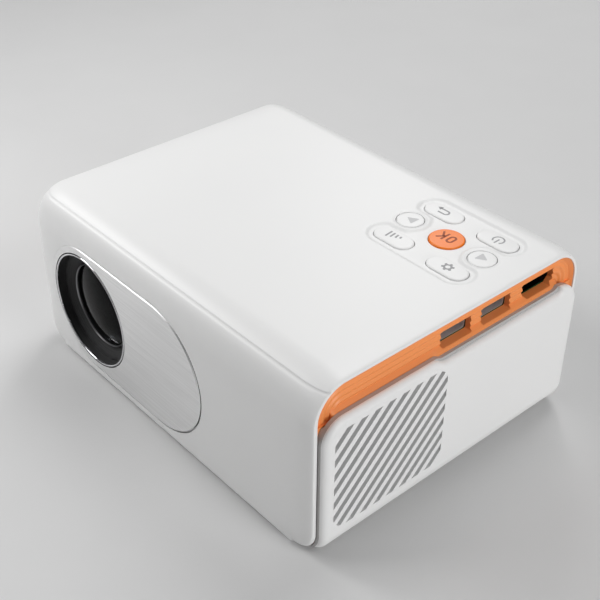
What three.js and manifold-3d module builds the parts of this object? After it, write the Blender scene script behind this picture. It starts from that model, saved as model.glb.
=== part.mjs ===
import * as THREE from 'three';
import { mergeVertices } from 'three/addons/utils/BufferGeometryUtils.js';
import Module from 'manifold-3d';

const wasm = await Module();
wasm.setup();

// A small video projector in millimetres, +Z up. The lens looks along -Y, +X is the end with
// the sockets, and the origin lies on the ground under the middle of the whole body.

// Housing: a sleeve along X, split by a seam into a U-shaped shell and a shallow cover
const housingWidth = 146.6;
const housingDepth = 118;
const housingHeight = 63.8;
const sideWall = 2.4;
const topWall = 2;
const topRadius = 12.8;
const underRadius = 3.2;
const endRoundLength = 9;
const endRoundDrop = 1.4;
const lowCornerRadius = 9;
const seamDrop = 2.95;
const seamWidth = 0.6;

// Feet
const footHeight = 1.2;
const footRadius = 5;
const footSink = 0.8;
const footInsetX = 15.3;
const footInsetY = 17;

// Screws in the base, and the posts they hold
const screwHeadRadius = 2.8;
const screwHeadHeight = 1.6;
const screwHeadSink = 0.5;
const screwRadius = 1.4;
const screwLength = 12;
const postRadius = 3.4;
const postFrontInset = 9;
const postRearInset = 7.5;
const postLeftInset = 8.3;
const postRightInset = 23.3;
const postBesideLight = 5.5;

// Tripod insert in the middle of the base
const insertRadius = 6;
const insertBore = 3.2;
const insertHeight = 9;
const insertBossWall = 2.2;

// Pill-shaped bezel plate on the front
const bezelLength = 88;
const bezelLowMargin = 4.3;
const bezelTopMargin = 11.1;
const bezelSideMargin = 6.9;
const bezelRim = 2.8;
const bezelThickness = 1.2;
const bezelProud = 0.3;
const bezelEdge = 0.4;

// Lens recess and focusing lens
const trimRingWall = 0.6;
const trimRingProud = 0.15;
const trimRingDepth = 2.2;
const shroudWall = 1.1;
const shroudDepth = 6;
const shroudFlangeReach = 3.6;
const shroudFlangeThickness = 1.5;
const focusRingDepth = 3;
const focusRingCone = 2.2;
const focusRingFront = 9;
const focusRingLength = 20;
const focusRingSkirt = 2;
const focusRibDepth = 0.5;
const focusRibCount = 24;
const cellInset = 5.3;
const cellLength = 28;
const cellDepth = 5.2;
const cellLip = 1.1;
const cellShoulder = 3.2;
const frontLensThickness = 3.4;
const frontLensCrown = 2.6;
const rearLensInset = 3.5;
const rearLensThickness = 3;
const rearLensCrown = 1.8;
const rearSeatDepth = 8;
const mountWall = 1.9;
const mountLength = 22;
const mountFlangeReach = 2.6;
const mountPlate = 2;

// Light path behind the lens
const lightBoxWall = 1.6;
const lightBoxLength = 18;
const sheetThickness = 1.5;
const frontSheetAt = 4;
const rearSheetAt = 14;
const pictureThickness = 2.4;
const pictureAt = 8.5;
const funnelStraight = 8.7;
const funnelSideMargin = 2.4;
const funnelTopMargin = 0.4;
const condenserRadius = 13;
const condenserRim = 1.5;
const condenserCrown = 5;
const ledY = 18.9;
const ledBoardRoom = 7.6;
const ledBoardThickness = 1.6;
const ledChipSize = 8;
const ledChipHeight = 0.8;
const sinkBase = 3;
const finClearance = 7.5;
const finThickness = 1.2;
const finCount = 11;

// Side assembly: orange port frame, grey trim and white panel
const frameInset = 1.5;
const frameThickness = 2.2;
const frameBar = 4.5;
const frameLift = 2;
const rippleDepth = 0.45;
const rippleWidth = 1;
const ripplePitch = 2.05;
const rippleCount = 4;
const rippleReach = 1.6;
const ledgeSink = 0.2;
const ledgeThickness = 2.4;
const ledgeReach = 1;
const ledgeForward = 2.4;
const ledgeNotchReach = 2.3;
const ledgeLipThickness = 0.8;
const trimStandOff = 0.6;
const trimThickness = 2;
const trimBar = 2.4;
const trimLowBar = 3.8;
const trimDrop = 0.4;
const panelThickness = 2;
const panelInset = 2.7;
const panelLow = 2;
const panelLowRadius = 8;
const panelDrop = 11.8;
const panelFrontRadius = 8;
const panelRearRadius = 9.8;
const panelEdgeDepth = 1.8;
const panelFrontEdge = 2.2;
const panelRearEdge = 4.5;
const notchBeforeSocket = 7.9;
const notchSlope = 5;
const notchRearInset = 12;
const notchDepth = 2.2;
const notchRadius = 2;

// Air slots in the panel
const slotFrontMargin = 6.4;
const slotRearOverlap = 0.6;
const slotLowMargin = 9.5;
const slotTopMargin = 3.6;
const slotFieldRadius = 5;
const slotWidth = 2;
const slotPitch = 3.93;
const slotCount = 14;
const slotAngle = 45;
const meshThickness = 0.6;
const meshOverlap = 0.9;

// Sockets
const socketDrop = 8.7;
const socketBack = 14;
const socketFloor = 1.6;
const dataOpeningWidth = 13.4;
const socketOpeningHeight = 5.8;
const dataShellWidth = 13.1;
const socketShellHeight = 5.7;
const socketShellWall = 0.55;
const dataTongueWidth = 10;
const dataTongueHeight = 1.6;
const videoRearInset = 20.1;
const videoToData = 20.2;
const dataPitch = 18.2;
const videoOpeningWidth = 15.3;
const videoShellWidth = 15;
const videoChamfer = 1.9;
const videoTongueWidth = 10.5;
const videoTongueHeight = 1;
const inletRearInset = 18;
const inletRadius = 2.8;
const inletWidth = 9;
const inletPinRadius = 0.9;
const inletToJack = 14;
const avJackRadius = 1.8;
const avJackWidth = 7;
const jackHeight = 6.4;
const jackBack = 11;
const jackWall = 1.4;
const jackHoleMargin = 0.5;

// Boards
const boardThickness = 1.6;
const boardMargin = 1.1;
const mainBoardBesideLight = 20.1;
const inletBoardLength = 16;
const inletBoardFrontMargin = 4;
const inletBoardRearMargin = 6;
const keyBoardThickness = 1;
const keyBoardDrop = 3.5;
const keyBoardReach = 9;
const boardPostRadius = 1.5;

// Fan and speaker
const fanThickness = 10;
const fanSideGap = 1;
const fanForward = 0.4;
const fanRailHeight = 2.6;
const fanTopGap = 0.65;
const fanWall = 1.6;
const fanSpokeWidth = 2.4;
const fanSpokeThickness = 1.4;
const fanSpokeCount = 4;
const fanSeatRadius = 9;
const fanHubRadius = 8.5;
const fanHubWall = 1.2;
const fanRotorThickness = 7.6;
const bladeCount = 7;
const bladeThickness = 1;
const bladePitchRoot = 52;
const bladePitchTip = 34;
const bladeTipGap = 0.8;
const fanRailWidth = 3;
const fanRailOffset = 11.25;
const speakerRadius = 17;
const speakerDepth = 11;
const speakerX = 24;
const speakerY = 24;
const speakerCone = 14;
const speakerRim = 3;
const magnetRadius = 13;

// Keys in their recess
const keyPadDepth = 0.5;
const keyPadMargin = 2.2;
const roundKeyClear = 2;
const pillKeyLength = 15.3;
const pillKeyWidth = 7.8;
const roundKeyRadius = 4.7;
const okKeyRadius = 5.95;
const keysRearInset = 21;
const keysRightInset = 18.4;
const keyRowPitch = 24;
const keyColumnPitch = 23.4;
const previousKeyOffset = 4.2;
const nextKeyOffset = 3.8;
const okKeyOffset = 0.4;
const keyTopDrop = 0.1;
const keyEdge = 0.6;
const keyFlangeReach = 0.8;
const keyFlangeThickness = 0.5;
const switchSize = 4;
const switchBodyHeight = 0.7;
const switchPlungerHeight = 0.4;
const switchPlungerRadius = 1;

// Clearances, the overrun of cutting tools, the least corner radius, and facet counts
const gap = 0.3;
const holeGap = 0.3;
const overrun = 1;
const leastRadius = 0.4;
const cornerSteps = 6;
const underSteps = 2;
const pillSteps = 8;
const bezelSteps = 18;
const smallCornerSteps = 3;
const leastSteps = 2;
const endRoundSteps = 4;
const largeFacets = 36;
const smallFacets = 18;
const pinFacets = 8;
const crownRings = 4;
const bladeStations = 3;

// Places that follow from the sizes above: housing
const shellLow = footHeight;
const shellTop = footHeight + housingHeight;
const rimX = housingWidth / 2;
const frontY = -housingDepth / 2;
const rearY = housingDepth / 2;
const innerFrontY = frontY + sideWall;
const innerLow = shellLow + sideWall;
const innerTop = shellTop - topWall;
const seamZ = shellTop - seamDrop;

// Side assembly
const frameFaceX = rimX - frameInset;
const frameBackX = frameFaceX - frameThickness;
const trimBackX = frameFaceX + trimStandOff;
const panelBackX = trimBackX + trimThickness;
const panelFaceX = panelBackX + panelThickness;
const panelTop = shellTop - panelDrop;
const lowCornerX = rimX - lowCornerRadius;
const ledgeZ = panelTop - ledgeSink;
const rippleLow = ledgeZ - rippleReach;

// Sockets, notch and slots
const socketZ = shellTop - socketDrop;
const socketFaceX = frameBackX - gap;
const videoY = rearY - videoRearInset;
const secondDataY = videoY - videoToData;
const firstDataY = secondDataY - dataPitch;
const inletY = rearY - inletRearInset;
const avJackY = inletY - inletToJack;
const notchFrontY = firstDataY - notchBeforeSocket;
const notchRearY = rearY - notchRearInset;
const slotFieldFrontY = frontY + slotFrontMargin;
const slotFieldRearY = notchFrontY + slotRearOverlap;
const slotFieldLow = panelLow + slotLowMargin;
const slotFieldHigh = panelTop - slotTopMargin;

// Bezel and lens
const bezelHeight = housingHeight - bezelLowMargin - bezelTopMargin;
const lensX = -rimX + bezelSideMargin + bezelHeight / 2;
const lensZ = shellLow + bezelLowMargin + bezelHeight / 2;
const recessRadius = bezelHeight / 2 - bezelRim;
const cellRadius = recessRadius - cellInset;
const rearLensRadius = cellRadius - rearLensInset;

// Light path
const lightBoxWidth = 2 * (lensX + frameBackX - gap);
const lightLow = innerLow + gap;
const lightHigh = 2 * lensZ - lightLow;
const lightLeft = lensX - lightBoxWidth / 2;
const lightRight = lensX + lightBoxWidth / 2;
const funnelEndWidth = 2 * (condenserRadius + lightBoxWall + funnelSideMargin);
const funnelEndHeight = 2 * (condenserRadius + lightBoxWall + funnelTopMargin);
const ledBoardSize = lightHigh - lightLow - ledBoardRoom;

// Posts and feet
const postFrontY = frontY + postFrontInset;
const postRearY = rearY - postRearInset;
const postBesideLightX = lightRight + postBesideLight;
const postLeftX = -rimX + postLeftInset;
const postRightX = rimX - postRightInset;
const footX = rimX - footInsetX;
const footY = rearY - footInsetY;

// Boards, keys and fan
const boardTop = socketZ - socketShellHeight / 2;
const boardLow = boardTop - boardThickness;
const mainBoardLeftX = lightRight + mainBoardBesideLight;
const mainBoardFrontY = firstDataY - dataShellWidth / 2 - boardMargin;
const mainBoardRearY = videoY + videoShellWidth / 2 + boardMargin;
const inletBoardFrontY = avJackY - inletBoardFrontMargin;
const inletBoardRearY = inletY + inletBoardRearMargin;
const keyBoardLow = innerTop - keyBoardDrop;
const switchLow = keyBoardLow + keyBoardThickness;
const rearKeysY = rearY - keysRearInset;
const frontKeysY = rearKeysY - keyRowPitch;
const roundKeysY = (frontKeysY + rearKeysY) / 2;
const rightKeysX = rimX - keysRightInset;
const leftKeysX = rightKeysX - keyColumnPitch;
const previousKeyX = leftKeysX - previousKeyOffset;
const nextKeyX = rightKeysX + nextKeyOffset;
const okKeyX = (leftKeysX + rightKeysX) / 2;
const okKeyY = roundKeysY + okKeyOffset;
const keyTop = shellTop - keyTopDrop;
const keyLow = innerTop - gap - keyFlangeThickness;
const fanSize = boardLow - fanTopGap - fanRailHeight - innerLow;
const fanX = frameBackX - fanSideGap - fanThickness / 2;
const fanY = slotFieldFrontY - fanForward + fanSize / 2;
const fanZ = innerLow + fanRailHeight + fanSize / 2;

// Outlines

// Points of an arc, both ends included, angles in degrees.
function arc(x, y, radius, from, to, steps) {
  const points = [];
  for (let step = 0; step <= steps; step += 1) {
    const angle = THREE.MathUtils.degToRad(from + ((to - from) * step) / steps);
    points.push(new THREE.Vector2(x + radius * Math.cos(angle), y + radius * Math.sin(angle)));
  }
  return points;
}

// A rectangle with its own radius at each corner: low left, low right, high right, high left.
function roundedBox(left, right, low, high, radii, steps = cornerSteps, lowSteps = steps) {
  const [a, b, c, d] = radii.map((radius) => Math.max(radius, leastRadius));
  return [
    ...arc(left + a, low + a, a, 180, 270, lowSteps),
    ...arc(right - b, low + b, b, 270, 360, lowSteps),
    ...arc(right - c, high - c, c, 0, 90, steps),
    ...arc(left + d, high - d, d, 90, 180, steps),
  ];
}

function rectangle(left, right, low, high) {
  return [[left, low], [right, low], [right, high], [left, high]].map((p) => new THREE.Vector2(...p));
}

function circle(x, y, radius, facets = smallFacets) {
  return arc(x, y, radius, 0, 360, facets).slice(0, -1);
}

// A pill that lies along the first axis.
function pill(x, y, length, width, steps = pillSteps) {
  const reach = (length - width) / 2;
  return [
    ...arc(x + reach, y, width / 2, -90, 90, steps),
    ...arc(x - reach, y, width / 2, 90, 270, steps),
  ];
}

// The housing's section across X, first coordinate Y, second Z.
function housingSection(inset, topInset = inset, lowInset = inset) {
  const reach = housingDepth / 2 - inset;
  const under = underRadius - inset;
  const over = topRadius - inset;
  return roundedBox(
    -reach, reach, shellLow + lowInset, shellTop - topInset,
    [under, under, over, over], cornerSteps, underSteps,
  );
}

// Solids. Each is a BufferGeometry, and manifold-3d joins and cuts them.

function merged(geometry) {
  geometry.deleteAttribute('normal');
  geometry.deleteAttribute('uv');
  const tidy = mergeVertices(geometry, 1e-4);
  const kept = [];
  const index = tidy.getIndex().array;
  for (let i = 0; i < index.length; i += 3) {
    const [a, b, c] = index.slice(i, i + 3);
    if (a !== b && b !== c && c !== a) kept.push(a, b, c);
  }
  tidy.setIndex(kept);
  return tidy;
}

function signedVolume(geometry) {
  const position = geometry.getAttribute('position');
  const index = geometry.getIndex().array;
  const [a, b, c] = [new THREE.Vector3(), new THREE.Vector3(), new THREE.Vector3()];
  let sum = 0;
  for (let i = 0; i < index.length; i += 3) {
    a.fromBufferAttribute(position, index[i]);
    b.fromBufferAttribute(position, index[i + 1]);
    c.fromBufferAttribute(position, index[i + 2]);
    sum += a.dot(b.cross(c)) / 6;
  }
  return sum;
}

// Merges shared vertices and turns the faces outwards.
function closed(geometry) {
  const tidy = merged(geometry);
  if (signedVolume(tidy) < 0) tidy.setIndex(Array.from(tidy.getIndex().array).reverse());
  return tidy;
}

function toManifold(geometry) {
  return new wasm.Manifold(new wasm.Mesh({
    numProp: 3,
    vertProperties: new Float32Array(geometry.getAttribute('position').array),
    triVerts: new Uint32Array(geometry.getIndex().array),
  }));
}

function fromManifold(manifold) {
  const mesh = manifold.getMesh();
  const geometry = new THREE.BufferGeometry();
  geometry.setAttribute('position', new THREE.BufferAttribute(new Float32Array(mesh.vertProperties), 3));
  geometry.setIndex(Array.from(mesh.triVerts));
  return geometry;
}

function combine(method, first, others) {
  let result = toManifold(first);
  for (const other of others.flat()) result = result[method](toManifold(other));
  return fromManifold(result);
}

const join = (first, ...others) => combine('add', first, others);
const cut = (first, ...others) => combine('subtract', first, others);
const common = (first, ...others) => combine('intersect', first, others);

// A prism of an outline, with holes, between two levels of the third axis.
function prism(outline, from, to, holes = []) {
  const shape = new THREE.Shape(outline);
  shape.holes = holes.map((hole) => new THREE.Path(hole));
  const geometry = new THREE.ExtrudeGeometry(shape, { depth: to - from, bevelEnabled: false });
  return closed(geometry.translate(0, 0, from));
}

// A body lofted through outlines with equal numbers of points, each at its own level.
function loft(levels) {
  const count = levels[0].outline.length;
  const positions = levels.flatMap(({ outline, at }) => outline.flatMap((p) => [p.x, p.y, at]));
  const index = [];
  for (let level = 0; level + 1 < levels.length; level += 1) {
    for (let i = 0; i < count; i += 1) {
      const a = level * count + i;
      const b = level * count + ((i + 1) % count);
      index.push(a, b, b + count, a, b + count, a + count);
    }
  }
  const last = (levels.length - 1) * count;
  for (const [a, b, c] of THREE.ShapeUtils.triangulateShape(levels[0].outline, [])) index.push(c, b, a);
  for (const [a, b, c] of THREE.ShapeUtils.triangulateShape(levels.at(-1).outline, [])) {
    index.push(last + a, last + b, last + c);
  }
  const geometry = new THREE.BufferGeometry();
  geometry.setAttribute('position', new THREE.Float32BufferAttribute(positions, 3));
  geometry.setIndex(index);
  return closed(geometry);
}

// A body turned about the lens axis: pairs of radius and place along Y.
function turned(pairs, facets = largeFacets) {
  return closed(new THREE.LatheGeometry(pairs.map((pair) => new THREE.Vector2(...pair)), facets));
}

// A tube or ring: the outline of its wall closes on itself.
const turnedRing = (pairs, facets) => turned([...pairs, pairs[0]], facets);

function block(left, right, front, rear, low, high) {
  const geometry = new THREE.BoxGeometry(right - left, rear - front, high - low);
  return closed(geometry.translate((left + right) / 2, (front + rear) / 2, (low + high) / 2));
}

// Lays a solid made on the first two axes over YZ, with its levels along X.
function alongX(geometry) {
  return geometry.applyMatrix4(new THREE.Matrix4().set(0, 0, 1, 0, 1, 0, 0, 0, 0, 1, 0, 0, 0, 0, 0, 1));
}

// Lays a solid made on the first two axes over XZ, with its levels along -Y.
function alongFront(geometry) {
  return geometry.applyMatrix4(new THREE.Matrix4().set(1, 0, 0, 0, 0, 0, -1, 0, 0, 1, 0, 0, 0, 0, 0, 1));
}

const prismX = (outline, from, to, holes) => alongX(prism(outline, from, to, holes));
const prismFront = (outline, from, to, holes) => alongFront(prism(outline, -to, -from, holes));

function mirrored(geometry) {
  return closed(geometry.clone().scale(-1, 1, 1));
}

// Quarter of an ellipse as shares of its two reaches: 0 at the face, 1 at the edge.
function roundOver(steps) {
  return Array.from({ length: steps + 1 }, (_, step) => {
    const angle = (Math.PI / 2) * (step / steps);
    return { alongShare: 1 - Math.sin(angle), dropShare: 1 - Math.cos(angle) };
  });
}

// Housing

function sleeve() {
  const ends = roundOver(endRoundSteps).map(({ alongShare, dropShare }) => ({
    outline: housingSection(endRoundDrop * dropShare),
    at: rimX - endRoundLength * alongShare,
  }));
  const starts = ends.map(({ outline, at }) => ({ outline, at: -at })).reverse();
  const outside = alongX(loft([...starts, ...ends]));
  const inside = prismX(housingSection(sideWall, topWall), -rimX - overrun, rimX + overrun);
  return cut(outside, inside);
}

const halfSpace = (low, high) => block(
  -housingWidth, housingWidth, -housingDepth, housingDepth, low, high,
);

const keys = [
  { name: 'return', x: leftKeysX, y: rearKeysY, pill: true },
  { name: 'power', x: rightKeysX, y: rearKeysY, pill: true },
  { name: 'source', x: leftKeysX, y: frontKeysY, pill: true },
  { name: 'settings', x: rightKeysX, y: frontKeysY, pill: true },
  { name: 'previous', x: previousKeyX, y: roundKeysY, radius: roundKeyRadius },
  { name: 'next', x: nextKeyX, y: roundKeysY, radius: roundKeyRadius },
  { name: 'ok', x: okKeyX, y: okKeyY, radius: okKeyRadius, orange: true },
];

// A key's outline, grown by a margin on every side.
function keyOutline(key, grow = 0) {
  if (key.pill) return pill(key.x, key.y, pillKeyLength + 2 * grow, pillKeyWidth + 2 * grow);
  return circle(key.x, key.y, key.radius + grow, smallFacets);
}

// The recess joins the two rows of pill keys round the OK key and stays clear of the round keys.
function keyRecess() {
  const floor = shellTop - keyPadDepth;
  const high = shellTop + overrun;
  const middleX = (leftKeysX + rightKeysX) / 2;
  const rowLength = rightKeysX - leftKeysX + pillKeyLength + 2 * keyPadMargin;
  const rowWidth = pillKeyWidth + 2 * keyPadMargin;
  const rows = [rearKeysY, frontKeysY].map((y) => prism(pill(middleX, y, rowLength, rowWidth), floor, high));
  const reach = (rightKeysX - leftKeysX) / 2;
  const neck = block(middleX - reach, middleX + reach, frontKeysY, rearKeysY, floor, high);
  const bites = keys.filter((key) => key.radius === roundKeyRadius)
    .map((key) => prism(keyOutline(key, roundKeyClear), floor - overrun, high + overrun));
  return cut(join(rows[0], rows[1], neck), bites);
}

const keyBoard = {
  left: previousKeyX - roundKeyRadius - keyPadMargin,
  right: nextKeyX + roundKeyRadius + keyPadMargin,
  front: frontKeysY - keyBoardReach,
  rear: rearKeysY + keyBoardReach,
};

const keyBoardPosts = [keyBoard.left + boardPostRadius, keyBoard.right - boardPostRadius].flatMap(
  (x) => [keyBoard.front + boardPostRadius, keyBoard.rear - boardPostRadius].map((y) => [x, y]),
);

const mainBoardPosts = [
  [mainBoardLeftX + 2 * boardPostRadius, mainBoardFrontY + 2 * boardPostRadius],
  [postRightX, mainBoardFrontY + 2 * boardPostRadius],
  [mainBoardLeftX + 2 * boardPostRadius, mainBoardRearY - 2 * boardPostRadius],
];

const inletBoardRight = inletBoardLength - frameBackX;

function hangingPost([x, y], low) {
  return prism(circle(x, y, boardPostRadius, pinFacets), low, innerTop + topWall / 2);
}

function topCover() {
  const lid = common(sleeve(), halfSpace(seamZ + seamWidth / 2, shellTop + overrun));
  const holes = keys.map((key) => prism(keyOutline(key, holeGap), innerTop - overrun, shellTop + overrun));
  const posts = [
    ...keyBoardPosts.map((place) => hangingPost(place, switchLow + gap)),
    ...mainBoardPosts.map((place) => hangingPost(place, boardTop + gap)),
    hangingPost([inletBoardRight - boardPostRadius, inletBoardFrontY + boardPostRadius], boardTop + gap),
    hangingPost([inletBoardRight - boardPostRadius, inletBoardRearY - boardPostRadius], boardTop + gap),
  ];
  return cut(join(lid, posts), keyRecess(), holes);
}

const posts = [
  [postBesideLightX, postFrontY],
  [postRightX, postFrontY],
  [postLeftX, postRearY],
  [postRightX, postRearY],
];
const screwSeat = shellLow + screwHeadSink + screwHeadHeight;
const feet = [-footX, footX].flatMap((x) => [-footY, footY].map((y) => [x, y]));

const bezelCentreX = lensX - bezelHeight / 2 + bezelLength / 2;
const bezelPlace = (grow) => pill(
  bezelCentreX, lensZ, bezelLength + 2 * grow, bezelHeight + 2 * grow, bezelSteps,
);
const bezelBackY = frontY - bezelProud + bezelThickness;

function mainShell() {
  const roundEnds = prismFront(
    roundedBox(-rimX, rimX, shellLow, shellTop, [lowCornerRadius, lowCornerRadius, 0, 0]),
    frontY - overrun, rearY + overrun,
  );
  const channel = common(sleeve(), halfSpace(shellLow - overrun, seamZ - seamWidth / 2), roundEnds);
  const room = prismX(housingSection(sideWall + gap, topWall + gap, sideWall / 2), -rimX, rimX);
  const coverPosts = posts.map(([x, y]) => common(prism(circle(x, y, postRadius), shellLow, shellTop), room));
  const boss = prism(
    circle(0, 0, insertRadius + insertBossWall, smallFacets),
    shellLow + sideWall / 2, shellLow + insertHeight,
  );
  const rails = [-1, 1].map((side) => fanY + side * fanRailOffset).map((y) => block(
    fanX - fanThickness / 2, fanX + fanThickness / 2, y - fanRailWidth / 2, y + fanRailWidth / 2,
    innerLow - sideWall / 2, fanZ - fanSize / 2 - gap,
  ));
  const recess = prismFront(bezelPlace(gap), frontY - overrun, bezelBackY);
  const opening = prismFront(
    circle(lensX, lensZ, recessRadius + shroudWall + gap, largeFacets),
    frontY - overrun, innerFrontY + overrun,
  );
  const footHoles = feet.map(([x, y]) => prism(
    circle(x, y, footRadius + gap), shellLow - overrun, shellLow + footSink,
  ));
  const insertHole = prism(
    circle(0, 0, insertRadius + gap, smallFacets), shellLow - overrun, shellLow + insertHeight + overrun,
  );
  const screwHoles = posts.flatMap(([x, y]) => [
    prism(circle(x, y, screwHeadRadius + gap, pinFacets), shellLow - overrun, screwSeat),
    prism(circle(x, y, screwRadius + gap, pinFacets), shellLow, screwSeat + screwLength + screwHeadHeight),
  ]);
  return cut(
    join(channel, coverPosts, boss, rails),
    recess, opening, footHoles, insertHole, screwHoles,
  );
}

const foot = () => loft([
  { outline: circle(0, 0, footRadius - leastRadius), at: 0 },
  { outline: circle(0, 0, footRadius), at: leastRadius },
  { outline: circle(0, 0, footRadius), at: shellLow + footSink - gap },
]);

const baseScrew = () => join(
  prism(circle(0, 0, screwHeadRadius, pinFacets), 0, screwHeadHeight),
  prism(circle(0, 0, screwRadius, pinFacets), screwHeadHeight / 2, screwLength),
);

const tripodInsert = () => prism(
  circle(0, 0, insertRadius, smallFacets), 0, insertHeight, [circle(0, 0, insertBore, smallFacets)],
);

// Side assembly, right-hand end; the left is its mirror image

// The notch that leaves room for the plugs' grips, open at the top, with a slope at its front end.
function notchOutline(low) {
  return [
    new THREE.Vector2(notchRearY, panelTop + overrun),
    new THREE.Vector2(notchFrontY - notchSlope - (overrun * notchSlope) / notchDepth, panelTop + overrun),
    new THREE.Vector2(notchFrontY, low),
    ...arc(notchRearY - notchRadius, low + notchRadius, notchRadius, 270, 360, smallCornerSteps),
  ];
}

// Everything nearer to the middle than a place on X, with its lower corner rounded.
function cornerRoom(reachX, low, radius) {
  return prismFront(
    roundedBox(0, reachX, low, shellTop + overrun, [leastRadius, radius, leastRadius, leastRadius]),
    frontY - overrun, rearY + overrun,
  );
}

// Room that follows the shell's rounded lower corner at an even distance.
function roomAlongCorner(reachX) {
  const radius = reachX - lowCornerX;
  return cornerRoom(reachX, shellLow + lowCornerRadius - radius, radius);
}

const panelRoom = () => cornerRoom(panelFaceX, panelLow, panelLowRadius);

function panelOutline(share) {
  const side = housingDepth / 2 - panelInset;
  const front = panelFrontEdge * share;
  const rear = panelRearEdge * share;
  return roundedBox(
    -side + front, side - rear, panelLow, panelTop - front,
    [leastRadius, leastRadius, panelRearRadius - rear, panelFrontRadius - front],
  );
}

// The panel turns under the body along its lower edge.
function sidePanel() {
  const levels = roundOver(endRoundSteps).map(({ alongShare, dropShare }) => ({
    outline: panelOutline(dropShare),
    at: panelFaceX - panelEdgeDepth * alongShare,
  }));
  const plate = alongX(loft([{ outline: panelOutline(0), at: lowCornerX }, ...levels]));
  const notch = prismX(notchOutline(panelTop - notchDepth), panelBackX - overrun, panelFaceX + overrun);
  return cut(common(plate, panelRoom()), roomAlongCorner(panelBackX), notch, airSlots());
}

// Slots at 45 degrees, clipped by one rounded field.
function airSlots() {
  const field = prismX(
    roundedBox(
      slotFieldFrontY, slotFieldRearY, slotFieldLow, slotFieldHigh,
      [slotFieldRadius, slotFieldRadius, slotFieldRadius, slotFieldRadius], smallCornerSteps,
    ),
    panelBackX - overrun, panelFaceX + overrun,
  );
  const width = slotFieldRearY - slotFieldFrontY;
  const height = slotFieldHigh - slotFieldLow;
  const reach = (width + height) / 2;
  const slots = [];
  for (let slot = 0; slot < slotCount; slot += 1) {
    const place = slot - (slotCount - 1) / 2;
    const bar = new THREE.BoxGeometry(panelFaceX - panelBackX + overrun, 2 * reach, slotWidth);
    bar.translate(0, 0, place * slotPitch);
    bar.rotateX(THREE.MathUtils.degToRad(slotAngle));
    bar.translate((panelBackX + panelFaceX) / 2, slotFieldFrontY + width / 2, slotFieldLow + height / 2);
    slots.push(common(closed(bar), field));
  }
  return slots;
}

// The trim stands inside the sleeve's walls and closes the corner between shell and panel below.
function trimOutline(inset, lowInset) {
  const side = housingDepth / 2 - sideWall - gap - inset;
  return roundedBox(
    -side, side, panelLow + lowInset, panelTop - trimDrop - inset,
    [leastRadius, leastRadius, panelRearRadius - inset, panelFrontRadius - inset],
  );
}

function panelTrim() {
  const plate = common(
    prismX(trimOutline(0, 0), lowCornerX, panelBackX, [trimOutline(trimBar, trimLowBar)]),
    panelRoom(), roomAlongCorner(panelBackX),
  );
  const shellRoom = common(
    roomAlongCorner(rimX + gap),
    block(-overrun, trimBackX, -housingDepth, housingDepth, -overrun, shellTop + overrun),
  );
  const ledgeRoom = block(
    trimBackX - overrun, frameFaceX + ledgeReach + gap, -housingDepth, housingDepth,
    ledgeZ - ledgeThickness - gap, shellTop,
  );
  const notchRoom = prismX(
    notchOutline(ledgeZ - ledgeLipThickness - gap), trimBackX - overrun, panelBackX + overrun,
  );
  return cut(plate, shellRoom, ledgeRoom, notchRoom);
}

const sockets = [
  { y: firstDataY, outline: () => roundedOpening(firstDataY, dataOpeningWidth) },
  { y: secondDataY, outline: () => roundedOpening(secondDataY, dataOpeningWidth) },
  { y: videoY, outline: () => videoOutline(videoOpeningWidth, socketOpeningHeight) },
];
const jacks = [
  { y: inletY, outline: () => circle(inletY, socketZ, inletRadius + jackHoleMargin) },
  { y: avJackY, outline: () => circle(avJackY, socketZ, avJackRadius + jackHoleMargin) },
];

function roundedOpening(y, width) {
  const radii = [leastRadius, leastRadius, leastRadius, leastRadius];
  const half = socketOpeningHeight / 2;
  return roundedBox(y - width / 2, y + width / 2, socketZ - half, socketZ + half, radii, leastSteps);
}

// Wide at the top, with both lower corners cut off.
function videoOutline(width, height) {
  const low = socketZ - height / 2;
  const high = socketZ + height / 2;
  return [
    [videoY - width / 2 + videoChamfer, low],
    [videoY + width / 2 - videoChamfer, low],
    [videoY + width / 2, low + videoChamfer],
    [videoY + width / 2, high],
    [videoY - width / 2, high],
    [videoY - width / 2, low + videoChamfer],
  ].map((p) => new THREE.Vector2(...p));
}

// A rippled wall under the cover's rim, carried down both ends and along the base as a ring.
function portFrame(openings) {
  const inset = sideWall + gap;
  const wall = prismX(
    housingSection(inset, topWall + gap, inset + frameLift), frameBackX, frameFaceX,
    [housingSection(inset + frameBar, shellTop - ledgeZ + ledgeThickness, inset + frameLift + frameBar)],
  );
  const grooves = Array.from({ length: rippleCount }, (_, ripple) => {
    const from = inset + rippleWidth + ripple * ripplePitch;
    return cut(
      prismX(
        housingSection(from, from, inset), frameFaceX - rippleDepth, frameFaceX + overrun,
        [housingSection(from + rippleWidth, from + rippleWidth, inset + rippleWidth)],
      ),
      halfSpace(-overrun, rippleLow),
    );
  });
  const ledgeFront = -housingDepth / 2 + topRadius - ledgeForward;
  const ledge = block(
    frameFaceX - rippleDepth, frameFaceX + ledgeReach, ledgeFront, -ledgeFront,
    ledgeZ - ledgeThickness, ledgeZ,
  );
  const notchLedge = block(
    frameFaceX, frameFaceX + ledgeNotchReach, notchFrontY + gap, notchRearY - gap - notchRadius,
    ledgeZ - ledgeLipThickness, ledgeZ,
  );
  const holes = openings.map((opening) => prismX(opening.outline(), frameBackX - overrun, panelFaceX));
  return cut(join(cut(wall, grooves), ledge, notchLedge), holes);
}

const dustMesh = () => prismX(
  roundedBox(
    slotFieldFrontY - meshOverlap, slotFieldRearY + meshOverlap,
    slotFieldLow - meshOverlap, panelTop - trimDrop - trimBar - gap,
    Array(4).fill(slotFieldRadius + meshOverlap), smallCornerSteps,
  ),
  panelBackX - meshThickness, panelBackX,
);

// Lens

const onAxis = (geometry) => geometry.translate(lensX, 0, lensZ);

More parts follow.
